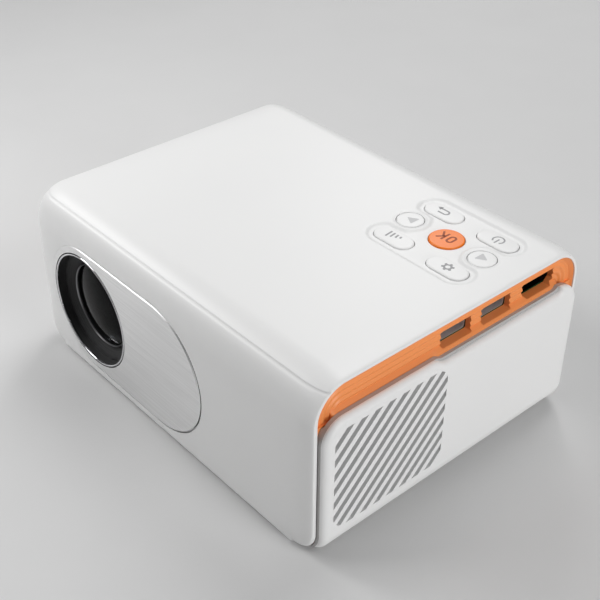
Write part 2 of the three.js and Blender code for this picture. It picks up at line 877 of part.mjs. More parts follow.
function bezelPlate() {
  const hole = (radius, from, to) => prismFront(circle(lensX, lensZ, radius, largeFacets), from, to);
  const face = frontY - bezelProud;
  const plate = alongFront(loft([
    { outline: bezelPlace(0), at: -bezelBackY },
    { outline: bezelPlace(0), at: -face - bezelEdge },
    { outline: bezelPlace(-bezelEdge), at: -face },
  ]));
  return cut(plate, hole(recessRadius + gap, face - overrun, bezelBackY + overrun));
}

const trimRingFront = frontY - bezelProud - trimRingProud;

const lensTrimRing = () => onAxis(turnedRing([
  [recessRadius, trimRingFront + trimRingWall / 2],
  [recessRadius - trimRingWall / 2, trimRingFront],
  [recessRadius - trimRingWall, trimRingFront + trimRingWall],
  [recessRadius - trimRingWall, trimRingFront + trimRingDepth],
  [recessRadius, trimRingFront + trimRingDepth],
]));

const shroudFront = trimRingFront + trimRingDepth;
const shroudRear = frontY + shroudDepth;
const shroudBore = recessRadius - trimRingWall;

const lensShroud = () => onAxis(turnedRing([
  [shroudBore, shroudFront],
  [shroudBore + shroudWall, shroudFront],
  [shroudBore + shroudWall, innerFrontY + gap],
  [recessRadius + shroudFlangeReach, innerFrontY + gap],
  [recessRadius + shroudFlangeReach, innerFrontY + gap + shroudFlangeThickness],
  [shroudBore + shroudWall, innerFrontY + gap + shroudFlangeThickness],
  [shroudBore + shroudWall, shroudRear],
  [shroudBore, shroudRear],
]));

const focusRadius = shroudBore - gap;
const focusBore = cellRadius + gap;
const focusFront = frontY + focusRingDepth;
const neckRadius = focusBore + mountWall;

// A dished front with finger ribs, and a skirt that turns on the mount's neck.
function focusRing() {
  const ring = turnedRing([
    [focusRadius, focusFront],
    [focusRadius, focusFront + focusRingLength],
    [neckRadius + gap, focusFront + focusRingLength],
    [neckRadius + gap, focusFront + focusRingFront],
    [focusBore, focusFront + focusRingFront],
    [focusBore, focusFront + focusRingCone],
    [focusRadius - focusRingSkirt / 2, focusFront],
  ], largeFacets);
  const ribs = Array.from({ length: focusRibCount }, (_, rib) => {
    const notch = block(
      focusRadius - focusRibDepth, focusRadius + overrun, focusFront - overrun,
      focusFront + focusRingSkirt, -focusRibDepth, focusRibDepth,
    );
    return notch.rotateY((2 * Math.PI * rib) / focusRibCount);
  });
  return onAxis(cut(ring, ribs));
}

const cellFront = frontY + cellDepth;
const cellRear = cellFront + cellLength;
const frontSeat = cellFront + frontLensCrown + frontLensThickness;
const rearSeat = cellRear - rearSeatDepth;

const lensCell = () => onAxis(turnedRing([
  [cellRadius, cellFront],
  [cellRadius, cellRear],
  [rearLensRadius + gap, cellRear],
  [rearLensRadius + gap, rearSeat],
  [cellRadius - cellLip - cellShoulder, rearSeat],
  [cellRadius - cellLip - cellShoulder, frontSeat],
  [cellRadius - cellLip, frontSeat],
  [cellRadius - cellLip, cellFront],
]));

// A glass element: crown at the front, edge, and flatter crown at the back.
function lensElement(radius, front, rim, frontCrown, rearCrown, facets = smallFacets) {
  const cap = (crown) => {
    const rings = crown === 0 ? 1 : crownRings;
    return Array.from({ length: rings + 1 }, (_, ring) => {
      const share = ring / rings;
      return [radius * share, crown * (1 - share * share)];
    });
  };
  const frontCap = cap(frontCrown).map(([r, rise]) => [r, front + frontCrown - rise]);
  const rearCap = cap(rearCrown).map(([r, rise]) => [r, front + frontCrown + rim + rise]).reverse();
  return turned([...frontCap, ...rearCap], facets);
}

const frontLens = () => onAxis(lensElement(
  cellRadius - cellLip - gap, cellFront, frontLensThickness - gap, frontLensCrown, 0, largeFacets,
));
const rearLens = () => onAxis(lensElement(
  rearLensRadius, rearSeat + gap, rearLensThickness, 0, rearLensCrown,
));

const mountFront = focusFront + focusRingFront + gap;
const mountRear = mountFront + mountLength;
const lightBoxFront = mountRear + gap;
const lightBoxRear = lightBoxFront + lightBoxLength;

// A tube that guides the cell, on a plate that closes the front of the light box.
function lensMount() {
  const tube = onAxis(turnedRing([
    [focusBore, mountFront],
    [neckRadius, mountFront],
    [neckRadius, mountRear - 2 * mountPlate],
    [recessRadius + mountFlangeReach, mountRear - mountPlate],
    [recessRadius + mountFlangeReach, mountRear - mountPlate / 2],
    [focusBore, mountRear - mountPlate / 2],
  ]));
  const plate = prismFront(
    rectangle(lightLeft, lightRight, lightLow, lightHigh), mountRear - mountPlate, mountRear,
    [circle(lensX, lensZ, focusBore, largeFacets)],
  );
  return join(plate, tube);
}

function lightBox() {
  return prismFront(
    rectangle(lightLeft, lightRight, lightLow, lightHigh), lightBoxFront, lightBoxRear,
    [rectangle(
      lightLeft + lightBoxWall, lightRight - lightBoxWall, lightLow + lightBoxWall, lightHigh - lightBoxWall,
    )],
  );
}

// A sheet that slides into the light box, at a distance behind its front.
function sheet(distance, thickness) {
  const margin = lightBoxWall + gap;
  return block(
    lightLeft + margin, lightRight - margin, lightBoxFront + distance, lightBoxFront + distance + thickness,
    lightLow + margin, lightHigh - margin,
  );
}

const funnelFront = lightBoxRear + gap;
const funnelRear = ledY - gap;

function lightFunnel() {
  const wall = (shrink) => [
    {
      outline: rectangle(lensX - funnelEndWidth / 2 + shrink, lensX + funnelEndWidth / 2 - shrink,
        lensZ - funnelEndHeight / 2 + shrink, lensZ + funnelEndHeight / 2 - shrink),
      at: -funnelRear,
    },
    {
      outline: rectangle(lensX - funnelEndWidth / 2 + shrink, lensX + funnelEndWidth / 2 - shrink,
        lensZ - funnelEndHeight / 2 + shrink, lensZ + funnelEndHeight / 2 - shrink),
      at: -funnelRear + funnelStraight,
    },
    {
      outline: rectangle(lightLeft + shrink, lightRight - shrink, lightLow + shrink, lightHigh - shrink),
      at: -funnelFront,
    },
  ];
  const inside = wall(lightBoxWall);
  inside[0].at -= overrun;
  inside[2].at += overrun;
  return cut(alongFront(loft(wall(0))), alongFront(loft(inside)));
}

const condenserLens = () => onAxis(lensElement(
  condenserRadius, funnelRear - condenserCrown - condenserRim - gap, condenserRim, condenserCrown, 0,
));

function ledBoard() {
  const half = ledBoardSize / 2;
  const boardFront = ledY + ledChipHeight;
  const board = block(
    lensX - half, lensX + half, boardFront, boardFront + ledBoardThickness, lensZ - half, lensZ + half,
  );
  const chip = block(
    lensX - ledChipSize / 2, lensX + ledChipSize / 2, ledY, boardFront + ledBoardThickness / 2,
    lensZ - ledChipSize / 2, lensZ + ledChipSize / 2,
  );
  return join(board, chip);
}

const sinkFront = ledY + ledChipHeight + ledBoardThickness + gap;
const finRear = postRearY - postRadius - finClearance;

function heatSink() {
  const half = ledBoardSize / 2;
  const base = block(lensX - half, lensX + half, sinkFront, sinkFront + sinkBase, lensZ - half, lensZ + half);
  const pitch = (ledBoardSize - finThickness) / (finCount - 1);
  const fins = Array.from({ length: finCount }, (_, fin) => {
    const low = lensZ - half + fin * pitch;
    return block(lensX - half, lensX + half, sinkFront + sinkBase / 2, finRear,
      low, low + finThickness);
  });
  return join(base, fins);
}

// Fan: its axis runs along X, behind the right-hand air slots

const fanDuct = fanSize / 2 - fanWall;
const fanBackX = fanX - fanThickness / 2;

function fanFrame() {
  const square = roundedBox(
    fanY - fanSize / 2, fanY + fanSize / 2, fanZ - fanSize / 2, fanZ + fanSize / 2,
    Array(4).fill(fanWall * 2), smallCornerSteps,
  );
  const duct = prismX(square, fanBackX, fanBackX + fanThickness, [circle(fanY, fanZ, fanDuct, largeFacets)]);
  const seat = prismX(circle(fanY, fanZ, fanSeatRadius), fanBackX, fanBackX + fanSpokeThickness);
  const spokes = Array.from({ length: fanSpokeCount }, (_, spoke) => {
    const bar = block(0, fanSpokeThickness, 0, fanDuct + fanWall / 2, -fanSpokeWidth / 2, fanSpokeWidth / 2);
    bar.rotateX((2 * Math.PI * (spoke + 1 / 2)) / fanSpokeCount);
    return bar.translate(fanBackX, fanY, fanZ);
  });
  return join(duct, seat, spokes);
}

// One blade, lofted outwards from the hub along Z with its pitch easing towards the tip.
function fanBlade(from, to) {
  const levels = Array.from({ length: bladeStations + 1 }, (_, station) => {
    const share = station / bladeStations;
    const radius = from + (to - from) * share;
    const pitch = THREE.MathUtils.degToRad(bladePitchRoot + (bladePitchTip - bladePitchRoot) * share);
    const half = Math.min((fanRotorThickness - bladeThickness) / Math.sin(pitch), fanRotorThickness) / 2;
    const section = [[-half, -bladeThickness / 2], [half, -bladeThickness / 2],
      [half, bladeThickness / 2], [0, bladeThickness], [-half, bladeThickness / 2]];
    const outline = section.map(([along, across]) => new THREE.Vector2(
      along * Math.sin(pitch) - across * Math.cos(pitch), along * Math.cos(pitch) + across * Math.sin(pitch),
    ));
    return { outline, at: radius };
  });
  return loft(levels);
}

function fanRotor() {
  const back = -fanRotorThickness / 2;
  const hub = prism(circle(0, 0, fanHubRadius, smallFacets), back, -back);
  const cup = prism(circle(0, 0, fanHubRadius - fanHubWall, smallFacets), back - overrun, -back - fanHubWall);
  const rotor = alongX(cut(hub, cup));
  const blades = Array.from({ length: bladeCount }, (_, blade) => {
    const piece = fanBlade(fanHubRadius - fanHubWall / 2, fanDuct - bladeTipGap);
    return piece.rotateX((2 * Math.PI * blade) / bladeCount);
  });
  return join(rotor, blades);
}

const rotorX = fanBackX + fanSpokeThickness + gap + fanRotorThickness / 2;

// Speaker: cone, rim and magnet, mouth down on the base

function speaker() {
  return turned([
    [0, 0], [speakerCone, 0], [speakerCone, speakerRim / 2], [speakerRadius, speakerRim / 2],
    [speakerRadius, speakerRim], [magnetRadius, speakerDepth / 2], [magnetRadius, speakerDepth],
    [0, speakerDepth],
  ], smallFacets).rotateX(Math.PI / 2);
}

// Electronics

const mainBoard = () => block(
  mainBoardLeftX, socketFaceX, mainBoardFrontY, mainBoardRearY, boardLow, boardTop,
);
const inletBoard = () => block(
  -socketFaceX, inletBoardRight, inletBoardFrontY, inletBoardRearY, boardLow, boardTop,
);
const keyBoardPlate = () => block(
  keyBoard.left, keyBoard.right, keyBoard.front, keyBoard.rear, keyBoardLow, switchLow,
);

function dataSocket(y) {
  const [w, h] = [dataShellWidth / 2, socketShellHeight / 2];
  const shell = block(socketFaceX - socketBack, socketFaceX, y - w, y + w, socketZ - h, socketZ + h);
  const mouth = block(
    socketFaceX - socketBack + socketFloor, socketFaceX + overrun,
    y - w + socketShellWall, y + w - socketShellWall,
    socketZ - h + socketShellWall, socketZ + h - socketShellWall,
  );
  const tongueTop = socketZ + h - 2 * socketShellWall;
  const tongue = block(
    socketFaceX - socketBack, socketFaceX - socketShellWall, y - dataTongueWidth / 2, y + dataTongueWidth / 2,
    tongueTop - dataTongueHeight, tongueTop,
  );
  return join(cut(shell, mouth), tongue);
}

function videoSocket() {
  const shell = prismX(
    videoOutline(videoShellWidth, socketShellHeight), socketFaceX - socketBack, socketFaceX,
  );
  const mouth = prismX(
    videoOutline(videoShellWidth - 2 * socketShellWall, socketShellHeight - 2 * socketShellWall),
    socketFaceX - socketBack + socketFloor, socketFaceX + overrun,
  );
  const tongue = block(
    socketFaceX - socketBack, socketFaceX - socketShellWall,
    videoY - videoTongueWidth / 2, videoY + videoTongueWidth / 2,
    socketZ - videoTongueHeight / 2, socketZ + videoTongueHeight / 2,
  );
  return join(cut(shell, mouth), tongue);
}

// A round jack in a square body, on the left; a power inlet has a pin in its middle.
function jack(y, radius, width, pinRadius) {
  const left = -socketFaceX;
  const low = boardTop;
  const rear = left + jackBack;
  const body = block(left, rear, y - width / 2, y + width / 2, low, low + jackHeight);
  const bore = prismX(circle(y, socketZ, radius), left - overrun, rear - jackWall);
  if (!pinRadius) return cut(body, bore);
  const pin = prismX(circle(y, socketZ, pinRadius, pinFacets), left + jackWall / 2, rear - jackWall / 2);
  return join(cut(body, bore), pin);
}

const keySwitch = () => join(
  block(-switchSize / 2, switchSize / 2, -switchSize / 2, switchSize / 2, 0, switchBodyHeight),
  prism(
    circle(0, 0, switchPlungerRadius, pinFacets),
    switchBodyHeight / 2, switchBodyHeight + switchPlungerHeight,
  ),
);

// A key cap with a retaining flange under the cover.
function keyCap(key) {
  const cap = loft([
    { outline: keyOutline(key), at: keyLow },
    { outline: keyOutline(key), at: keyTop - keyEdge },
    { outline: keyOutline(key, -keyEdge / 2), at: keyTop },
  ]);
  return join(cap, prism(keyOutline(key, keyFlangeReach), keyLow, keyLow + keyFlangeThickness));
}

// Materials

function material(color, roughness, metalness = 0) {
  return new THREE.MeshStandardMaterial({ color, roughness, metalness });
}

const whiteAbs = material('#e9e9e8', 0.5);
const orangeAbs = material('#ee9058', 0.55);
const greyAbs = material('#a3a19e', 0.6);
const blackAbs = material('#161617', 0.55);
const brushedAluminium = material('#c9cacc', 0.35, 1);
const chrome = material('#dddddd', 0.08, 1);
const castAluminium = material('#b9bbbd', 0.45, 1);
const nickel = material('#a8a8a6', 0.3, 1);
const brass = material('#b08d4c', 0.35, 1);
const rubber = material('#2a2a2b', 0.85);
const steel = material('#8f9092', 0.35, 1);
const glass = material('#20262c', 0.05);
const clearSheet = material('#c4ccd0', 0.15);
const circuitBoard = material('#1f5a3a', 0.5);
const filterCloth = material('#8a8a8a', 0.9);

// Assembly. The bezel and its ring stand proud of the front, so the housing moves back by half of
// that and the origin lies under the middle of the whole depth.

const projector = new THREE.Group();
projector.position.y = (bezelProud + trimRingProud) / 2;

function assembly(...children) {
  const group = new THREE.Group();
  group.add(...children);
  projector.add(group);
}

function piece(name, geometry, finish, place = [0, 0, 0]) {
  const mesh = new THREE.Mesh(geometry, finish);
  mesh.name = name;
  mesh.position.set(...place);
  return mesh;
}

assembly(
  piece('top_cover', topCover(), whiteAbs),
  piece('main_shell', mainShell(), whiteAbs),
  ...feet.map(([x, y], i) => piece(`foot_${i + 1}`, foot(), rubber, [x, y, 0])),
  ...posts.map(
    ([x, y], i) => piece(`base_screw_${i + 1}`, baseScrew(), steel, [x, y, shellLow + screwHeadSink]),
  ),
  piece('tripod_insert', tripodInsert(), brass, [0, 0, shellLow]),
);

for (const [side, place] of [['right', (g) => g], ['left', mirrored]]) {
  assembly(
    piece(`${side}_panel`, place(sidePanel()), whiteAbs),
    piece(`${side}_panel_trim`, place(panelTrim()), greyAbs),
    piece(`${side}_port_frame`, place(portFrame(side === 'right' ? sockets : jacks)), orangeAbs),
    piece(`${side}_dust_mesh`, place(dustMesh()), filterCloth),
  );
}

assembly(
  piece('bezel_plate', bezelPlate(), brushedAluminium),
  piece('lens_trim_ring', lensTrimRing(), chrome),
  piece('lens_shroud', lensShroud(), blackAbs),
  piece('focus_ring', focusRing(), blackAbs),
  piece('lens_cell', lensCell(), blackAbs),
  piece('front_lens', frontLens(), glass),
  piece('rear_lens', rearLens(), glass),
  piece('lens_mount', lensMount(), blackAbs),
);

assembly(
  piece('light_box', lightBox(), blackAbs),
  piece('front_field_lens', sheet(frontSheetAt, sheetThickness), clearSheet),
  piece('picture_panel', sheet(pictureAt, pictureThickness), glass),
  piece('rear_field_lens', sheet(rearSheetAt, sheetThickness), clearSheet),
  piece('light_funnel', lightFunnel(), blackAbs),
  piece('condenser_lens', condenserLens(), glass),
  piece('led_board', ledBoard(), castAluminium),
  piece('heat_sink', heatSink(), castAluminium),
);

assembly(
  piece('fan_frame', fanFrame(), blackAbs),
  piece('fan_rotor', fanRotor(), blackAbs, [rotorX, fanY, fanZ]),
  piece('speaker', speaker(), blackAbs, [speakerX, speakerY, innerLow + gap]),
);

assembly(
  piece('main_board', mainBoard(), circuitBoard),
  piece('data_socket_1', dataSocket(firstDataY), nickel),
  piece('data_socket_2', dataSocket(secondDataY), nickel),
  piece('video_socket', videoSocket(), blackAbs),
  piece('inlet_board', inletBoard(), circuitBoard),
  piece('power_inlet', jack(inletY, inletRadius, inletWidth, inletPinRadius), blackAbs),
  piece('av_jack', jack(avJackY, avJackRadius, avJackWidth), blackAbs),
);

assembly(
  piece('key_board', keyBoardPlate(), circuitBoard),
  ...keys.map((key) => piece(`${key.name}_switch`, keySwitch(), steel, [key.x, key.y, switchLow])),
  ...keys.map((key) => piece(`${key.name}_key`, keyCap(key), key.orange ? orangeAbs : whiteAbs)),
);

export default projector;
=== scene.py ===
# %% [markdown]
# # A small video projector
# The object is a desktop projector: a white moulded housing, a brushed front plate round the lens,
# two orange socket walls and seven keys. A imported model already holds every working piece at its
# real size. This lesson dresses that model, so each visible piece is built again as a fine mesh
# in the same place, and the inner pieces keep their shape and get a real finish.
#
# Sizes are in millimetres, because a maker thinks in them, and each mesh is scaled to metres
# when it is made.

import math

import bmesh
import bpy
from mathutils import Matrix, Vector


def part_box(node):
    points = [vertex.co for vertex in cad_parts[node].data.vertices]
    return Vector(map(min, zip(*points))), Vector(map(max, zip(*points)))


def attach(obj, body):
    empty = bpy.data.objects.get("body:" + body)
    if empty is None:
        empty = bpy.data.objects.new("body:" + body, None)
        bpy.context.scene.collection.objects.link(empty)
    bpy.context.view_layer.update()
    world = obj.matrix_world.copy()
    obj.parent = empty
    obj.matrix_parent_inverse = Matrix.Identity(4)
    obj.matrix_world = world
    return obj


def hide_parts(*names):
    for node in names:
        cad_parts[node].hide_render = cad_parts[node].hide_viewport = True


MM = 0.001
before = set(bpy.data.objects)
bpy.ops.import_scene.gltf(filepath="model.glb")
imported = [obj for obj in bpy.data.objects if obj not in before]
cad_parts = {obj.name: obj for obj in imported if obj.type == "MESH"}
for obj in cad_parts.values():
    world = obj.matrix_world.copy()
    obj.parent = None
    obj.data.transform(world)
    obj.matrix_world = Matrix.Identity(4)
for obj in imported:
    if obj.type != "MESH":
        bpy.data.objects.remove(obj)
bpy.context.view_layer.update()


# %% Read places from the model
def low_high(node):
    """The lowest and highest corner of a node, in millimetres."""
    low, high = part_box(node)
    return low / MM, high / MM


def centre(low, high):
    return (low + high) / 2


shell_low, shell_high = low_high("main_shell")
cover_high = low_high("top_cover")[1]
MIDDLE_Y = (shell_low.y + shell_high.y) / 2
RIM_X = cover_high.x
FRONT_Y = shell_low.y
REAR_Y = shell_high.y
BASE_Z = shell_low.z
TOP_Z = cover_high.z
print("housing from", round(FRONT_Y, 2), "to", round(REAR_Y, 2), "and up to", round(TOP_Z, 2))

# %% [markdown]
# ## Colours and nodes
# A colour is written as the sRGB hex value that a paint chart would give. Shaders work in linear
# light, so one function turns the hex value into linear numbers. A second small function adds a
# node, sets its properties and links its inputs. Nearly every material here is made the same way:
# a noise of one size varies the tone between two colours, and a noise bends the surface a little.


# %% Colour and node helpers
def linear(hex_colour):
    """An sRGB hex colour as linear red, green, blue and alpha."""
    values = []
    for start in (0, 2, 4):
        share = int(hex_colour[start:start + 2], 16) / 255
        values.append(share / 12.92 if share <= 0.04045 else ((share + 0.055) / 1.055) ** 2.4)
    return (*values, 1.0)


def add_node(tree, kind, inputs=None, **settings):
    """Adds a node. An input that is a socket is linked, any other is set as a value."""
    node = tree.nodes.new(kind)
    for name, value in settings.items():
        setattr(node, name, value)
    for name, value in (inputs or {}).items():
        if isinstance(value, bpy.types.NodeSocket):
            tree.links.new(value, node.inputs[name])
        else:
            node.inputs[name].default_value = value
    return node


def new_material(name, **values):
    """A material with one Principled shader. Values are set on the shader's own sockets."""
    material = bpy.data.materials.new(name)
    material.use_nodes = True
    shader = material.node_tree.nodes["Principled BSDF"]
    for socket, value in values.items():
        shader.inputs[socket.replace("_", " ")].default_value = value
    return material, material.node_tree, shader


def per_mm(size):
    """The scale of a texture whose features are this many millimetres wide."""
    return 1 / (size * MM)


def object_place(tree):
    return add_node(tree, "ShaderNodeTexCoord").outputs["Object"]


def add_noise(tree, place, scale, detail):
    inputs = {"Vector": place, "Scale": scale, "Detail": detail}
    return add_node(tree, "ShaderNodeTexNoise", inputs).outputs["Fac"]


def add_tone(tree, shader, share, hex_colour, hex_shade):
    """The colour varies between two tones."""
    inputs = {"Factor": share, "A": linear(hex_colour), "B": linear(hex_shade)}
    tone = add_node(tree, "ShaderNodeMix", inputs, data_type="RGBA")
    tree.links.new(tone.outputs["Result"], shader.inputs["Base Color"])


def add_bump(tree, shader, height, strength, depth):
    """The surface is bent by a height, up to a depth in millimetres."""
    inputs = {"Height": height, "Strength": strength, "Distance": depth * MM}
    bump = add_node(tree, "ShaderNodeBump", inputs)
    tree.links.new(bump.outputs["Normal"], shader.inputs["Normal"])


print("orange in linear light:", [round(value, 3) for value in linear("F08A4E")])

# %% [markdown]
# ## Moulded ABS
# The housing is ABS plastic from a steel mould whose face was spark-eroded. That leaves a very
# fine grain, so the shine is soft and wide. The grain is about 0.15 mm on the real cover. It is
# drawn at 0.4 mm here, since finer grain would vanish between the pixels. A slow change of tone
# over 40 mm stands for the flow of the plastic in the mould.


# %% A function for every ABS colour
GRAIN = 0.4
FLOW = 40
GRAIN_STRENGTH = 0.35
GRAIN_DEPTH = 0.012
INK_GRAIN_DEPTH = 0.004
ABS_IOR = 1.53


def moulded_abs(name, hex_colour, hex_shade, roughness=0.42, grain_depth=GRAIN_DEPTH):
    """ABS with fine grain: the two colours differ only a little."""
    material, tree, shader = new_material(name, Roughness=roughness, IOR=ABS_IOR)
    place = object_place(tree)
    add_tone(tree, shader, add_noise(tree, place, per_mm(FLOW), 2.0), hex_colour, hex_shade)
    add_bump(tree, shader, add_noise(tree, place, per_mm(GRAIN), 3.0), GRAIN_STRENGTH, grain_depth)
    return material


white_abs = moulded_abs("white moulded ABS", "F4F4F3", "F1F1F1")
orange_abs = moulded_abs("orange moulded ABS", "FD9F5B", "FA9A55")
orange_key_abs = moulded_abs("orange key ABS", "FF8418", "FC8014", roughness=0.38)
grey_abs = moulded_abs("grey moulded ABS", "BCBAB9", "B6B4B3")
black_abs = moulded_abs("black moulded ABS", "1E1E1F", "191919", roughness=0.36)
black_matt = moulded_abs("matt black lens ABS", "262627", "202021", roughness=0.7)
key_abs = moulded_abs("white key ABS", "F2F2F1", "EFEFEF", roughness=0.38)
ink_grey = moulded_abs("grey pad-printed ink", "A4A4A6", "9E9EA0", 0.55, INK_GRAIN_DEPTH)
ink_pale = moulded_abs("pale pad-printed ink", "D2D2D3", "CDCDCE", 0.55, INK_GRAIN_DEPTH)
ink_brown = moulded_abs("dark orange pad-printed ink", "A8501F", "A04B1C", 0.55, INK_GRAIN_DEPTH)
print("ABS and ink colours made")

# %% [markdown]
# ## Brushed aluminium
# The front plate is aluminium sheet, brushed along its length with an abrasive belt and then
# clear anodised. Each scratch is long and thin, so the shine is drawn out across the brushing.
# Stretched noise gives the scratches: 0.12 mm wide in truth, and 0.4 mm here so that they show.
# The chamfer round the plate was cut by a diamond tool after brushing, and shines like a mirror.


# %% Brushed plate and its cut edge
SCRATCH_WIDTH = 0.4
SCRATCH_LENGTH = 24
SCRATCH_STRENGTH = 0.4
SCRATCH_DEPTH = 0.02
MARK_STRENGTH = 0.2
MARK_DEPTH = 0.01


def brushed_metal():
    material, tree, shader = new_material(
        "brushed anodised aluminium", Metallic=1.0, Roughness=0.5, Anisotropic=0.6,
    )
    scale = [per_mm(size) for size in (SCRATCH_LENGTH, SCRATCH_WIDTH, SCRATCH_WIDTH)]
    stretch = add_node(tree, "ShaderNodeMapping", {"Vector": object_place(tree), "Scale": scale})
    scratches = add_noise(tree, stretch.outputs["Vector"], 1.0, 4.0)
    add_tone(tree, shader, scratches, "E4E4E4", "FFFFFF")
    add_bump(tree, shader, scratches, SCRATCH_STRENGTH, SCRATCH_DEPTH)
    return material


def fine_metal(name, hex_colour, hex_shade, roughness, mark_width):
    """A metal with fine marks: plated, cast or turned, by the width of its marks."""
    material, tree, shader = new_material(name, Metallic=1.0, Roughness=roughness)
    marks = add_noise(tree, object_place(tree), per_mm(mark_width), 3.0)
    add_tone(tree, shader, marks, hex_colour, hex_shade)
    add_bump(tree, shader, marks, MARK_STRENGTH, MARK_DEPTH)
    return material


brushed_aluminium = brushed_metal()
cut_aluminium = fine_metal("diamond-cut aluminium", "FAFAFA", "F2F2F2", 0.45, 3)
chrome = fine_metal("chromed trim", "DADADC", "CFCFD2", 0.08, 6)
cast_aluminium = fine_metal("cast aluminium", "A8A9AB", "949597", 0.5, 0.8)
nickel_plate = fine_metal("nickel-plated steel", "D0D2D4", "C4C6C8", 0.55, 1.5)
screw_steel = fine_metal("zinc-plated screw steel", "8F9092", "7B7C7F", 0.32, 0.6)
switch_metal = fine_metal("stamped switch metal", "B4B5B7", "A2A3A5", 0.34, 0.8)
satin_aluminium = fine_metal("satin anodised aluminium", "8E8E90", "838385", 0.3, 1.2)
black_nickel = fine_metal("black nickel plate", "2A2A2C", "222224", 0.35, 1.5)
brass = fine_metal("turned brass", "C9A45C", "B8924A", 0.28, 0.5)
gold_contact = fine_metal("gold-plated contact", "E3BC6B", "D2A955", 0.22, 0.6)
print("metals made:", brushed_aluminium.name, chrome.name, brass.name)

# %% [markdown]
# ## Glass, cloth, rubber and boards
# The front lens is crown glass with an anti-reflection coat, which is drawn as a low index of
# 1.15, so most light goes in and little comes back. The other clear pieces are acrylic, apart from
# the glass of the picture panel. The dust filter is nylon cloth, woven from 0.12 mm thread at a
# pitch of 0.5 mm, and drawn at 0.7 mm here so that the holes can be seen.


# %% Clear materials
CLOUD = 9
CLOUD_STRENGTH = 0.05
CLOUD_DEPTH = 0.02


def clear_material(name, hex_colour, ior, roughness):
    """A clear material. Faint cloudiness in the surface keeps it from looking computed."""
    material, tree, shader = new_material(
        name, Transmission_Weight=1.0, IOR=ior, Roughness=roughness, Base_Color=linear(hex_colour),
    )
    cloud = add_noise(tree, object_place(tree), per_mm(CLOUD), 2.0)
    add_bump(tree, shader, cloud, CLOUD_STRENGTH, CLOUD_DEPTH)
    return material


# The dark grey tint of the front lens glass is painted shade: it darkens the view into the lens, whose real
# glass is clear.
coated_glass = clear_material("coated crown glass", "3A3D40", 1.15, 0.02)
picture_glass = clear_material("picture panel glass", "5C6064", 1.52, 0.08)
clear_acrylic = clear_material("clear acrylic", "E8ECEC", 1.49, 0.06)
print("clear materials made")

# %% Cloth, rubber and circuit board
THREAD_PITCH = 0.7
THREAD_STRENGTH = 0.6
THREAD_DEPTH = 0.1
WAVES_PER_SCALE = 20
TRACK_PITCH = 2.4
TRACK_GAP = 0.2
RUBBER_GRAIN_DEPTH = 0.03


def woven_cloth():
    """Nylon cloth: two sets of waves at right angles make the threads."""
    material, tree, shader = new_material("woven nylon filter cloth", Roughness=0.8, IOR=ABS_IOR)
    inputs = {"Vector": object_place(tree), "Scale": per_mm(THREAD_PITCH) / WAVES_PER_SCALE}
    threads = {}
    for number, direction in enumerate("YZ"):
        wave = add_node(
            tree, "ShaderNodeTexWave", inputs, wave_type="BANDS", bands_direction=direction,
        )
        threads[number] = wave.outputs["Fac"]
    weave = add_node(tree, "ShaderNodeMath", threads, operation="MAXIMUM").outputs["Value"]
    add_tone(tree, shader, weave, "484849", "747476")
    add_bump(tree, shader, weave, THREAD_STRENGTH, THREAD_DEPTH)
    return material


def board_material():
    """Glass-fibre board under green solder mask, with the copper tracks showing through."""
    material, tree, shader = new_material("green solder mask on glass fibre", Roughness=0.35, IOR=1.5)
    inputs = {
        "Vector": object_place(tree), "Scale": 1.0, "Brick Width": 3 * TRACK_PITCH * MM,
        "Row Height": TRACK_PITCH * MM, "Mortar Size": TRACK_GAP * MM,
        "Color1": linear("1F5B34"), "Color2": linear("23633A"), "Mortar": linear("3C8450"),
    }
    tracks = add_node(tree, "ShaderNodeTexBrick", inputs)
    tree.links.new(tracks.outputs["Color"], shader.inputs["Base Color"])
    return material


filter_cloth = woven_cloth()
circuit_board = board_material()
rubber = moulded_abs("moulded rubber", "4A4A4C", "424244", 0.75, RUBBER_GRAIN_DEPTH)
print("cloth and board made with a thread pitch of", THREAD_PITCH, "mm")

# %% [markdown]
# ## From outlines to meshes
# Nearly every piece here starts as a flat outline, as on a maker's drawing. Arcs are worked out
# from their centre and radius. A loft joins outlines at several levels, a prism is a loft of two
# equal outlines, and a turned piece spins its profile round an axis. Booleans then cut openings.


# %% Outlines
SHARP = 0.05
FINE_ROUND = 96
ROUND = 64
SMALL_ROUND = 48
TINY_ROUND = 32


def arc(across, up, radius, start, end, steps):
    """Points of an arc, both ends included, angles in degrees."""
    points = []
    for step in range(steps + 1):
        angle = math.radians(start + (end - start) * step / steps)
        points.append((across + radius * math.cos(angle), up + radius * math.sin(angle)))
    return points


def circle(across, up, radius, steps=ROUND):
    return arc(across, up, radius, 0, 360, steps)[:-1]


def rounded_box(left, right, low, high, radii, steps=16):
    """A rectangle with a radius at each corner: low left, low right, high right, high left."""
    a, b, c, d = [max(radius, SHARP) for radius in radii]
    return [
        *arc(left + a, low + a, a, 180, 270, steps),
        *arc(right - b, low + b, b, 270, 360, steps),
        *arc(right - c, high - c, c, 0, 90, steps),
        *arc(left + d, high - d, d, 90, 180, steps),
    ]


def pill(across, up, length, width, steps=32):
    reach = (length - width) / 2
    return [
        *arc(across + reach, up, width / 2, -90, 90, steps),
        *arc(across - reach, up, width / 2, 90, 270, steps),
    ]


print("a pill outline has", len(pill(0, 0, 10, 4)), "points")


# %% Meshes
MERGE = 0.0005
ON_AXIS = 0.0001


def make_object(name, points, faces):
    """A mesh object from points in millimetres, with doubled points merged and faces turned out."""
    mesh = bpy.data.meshes.new(name)
    mesh.from_pydata([Vector(point) * MM for point in points], [], faces)
    work = bmesh.new()
    work.from_mesh(mesh)
    bmesh.ops.remove_doubles(work, verts=work.verts, dist=MERGE * MM)
    bmesh.ops.recalc_face_normals(work, faces=work.faces)
    work.to_mesh(mesh)
    work.free()
    piece = bpy.data.objects.new(name, mesh)
    bpy.context.scene.collection.objects.link(piece)
    return piece


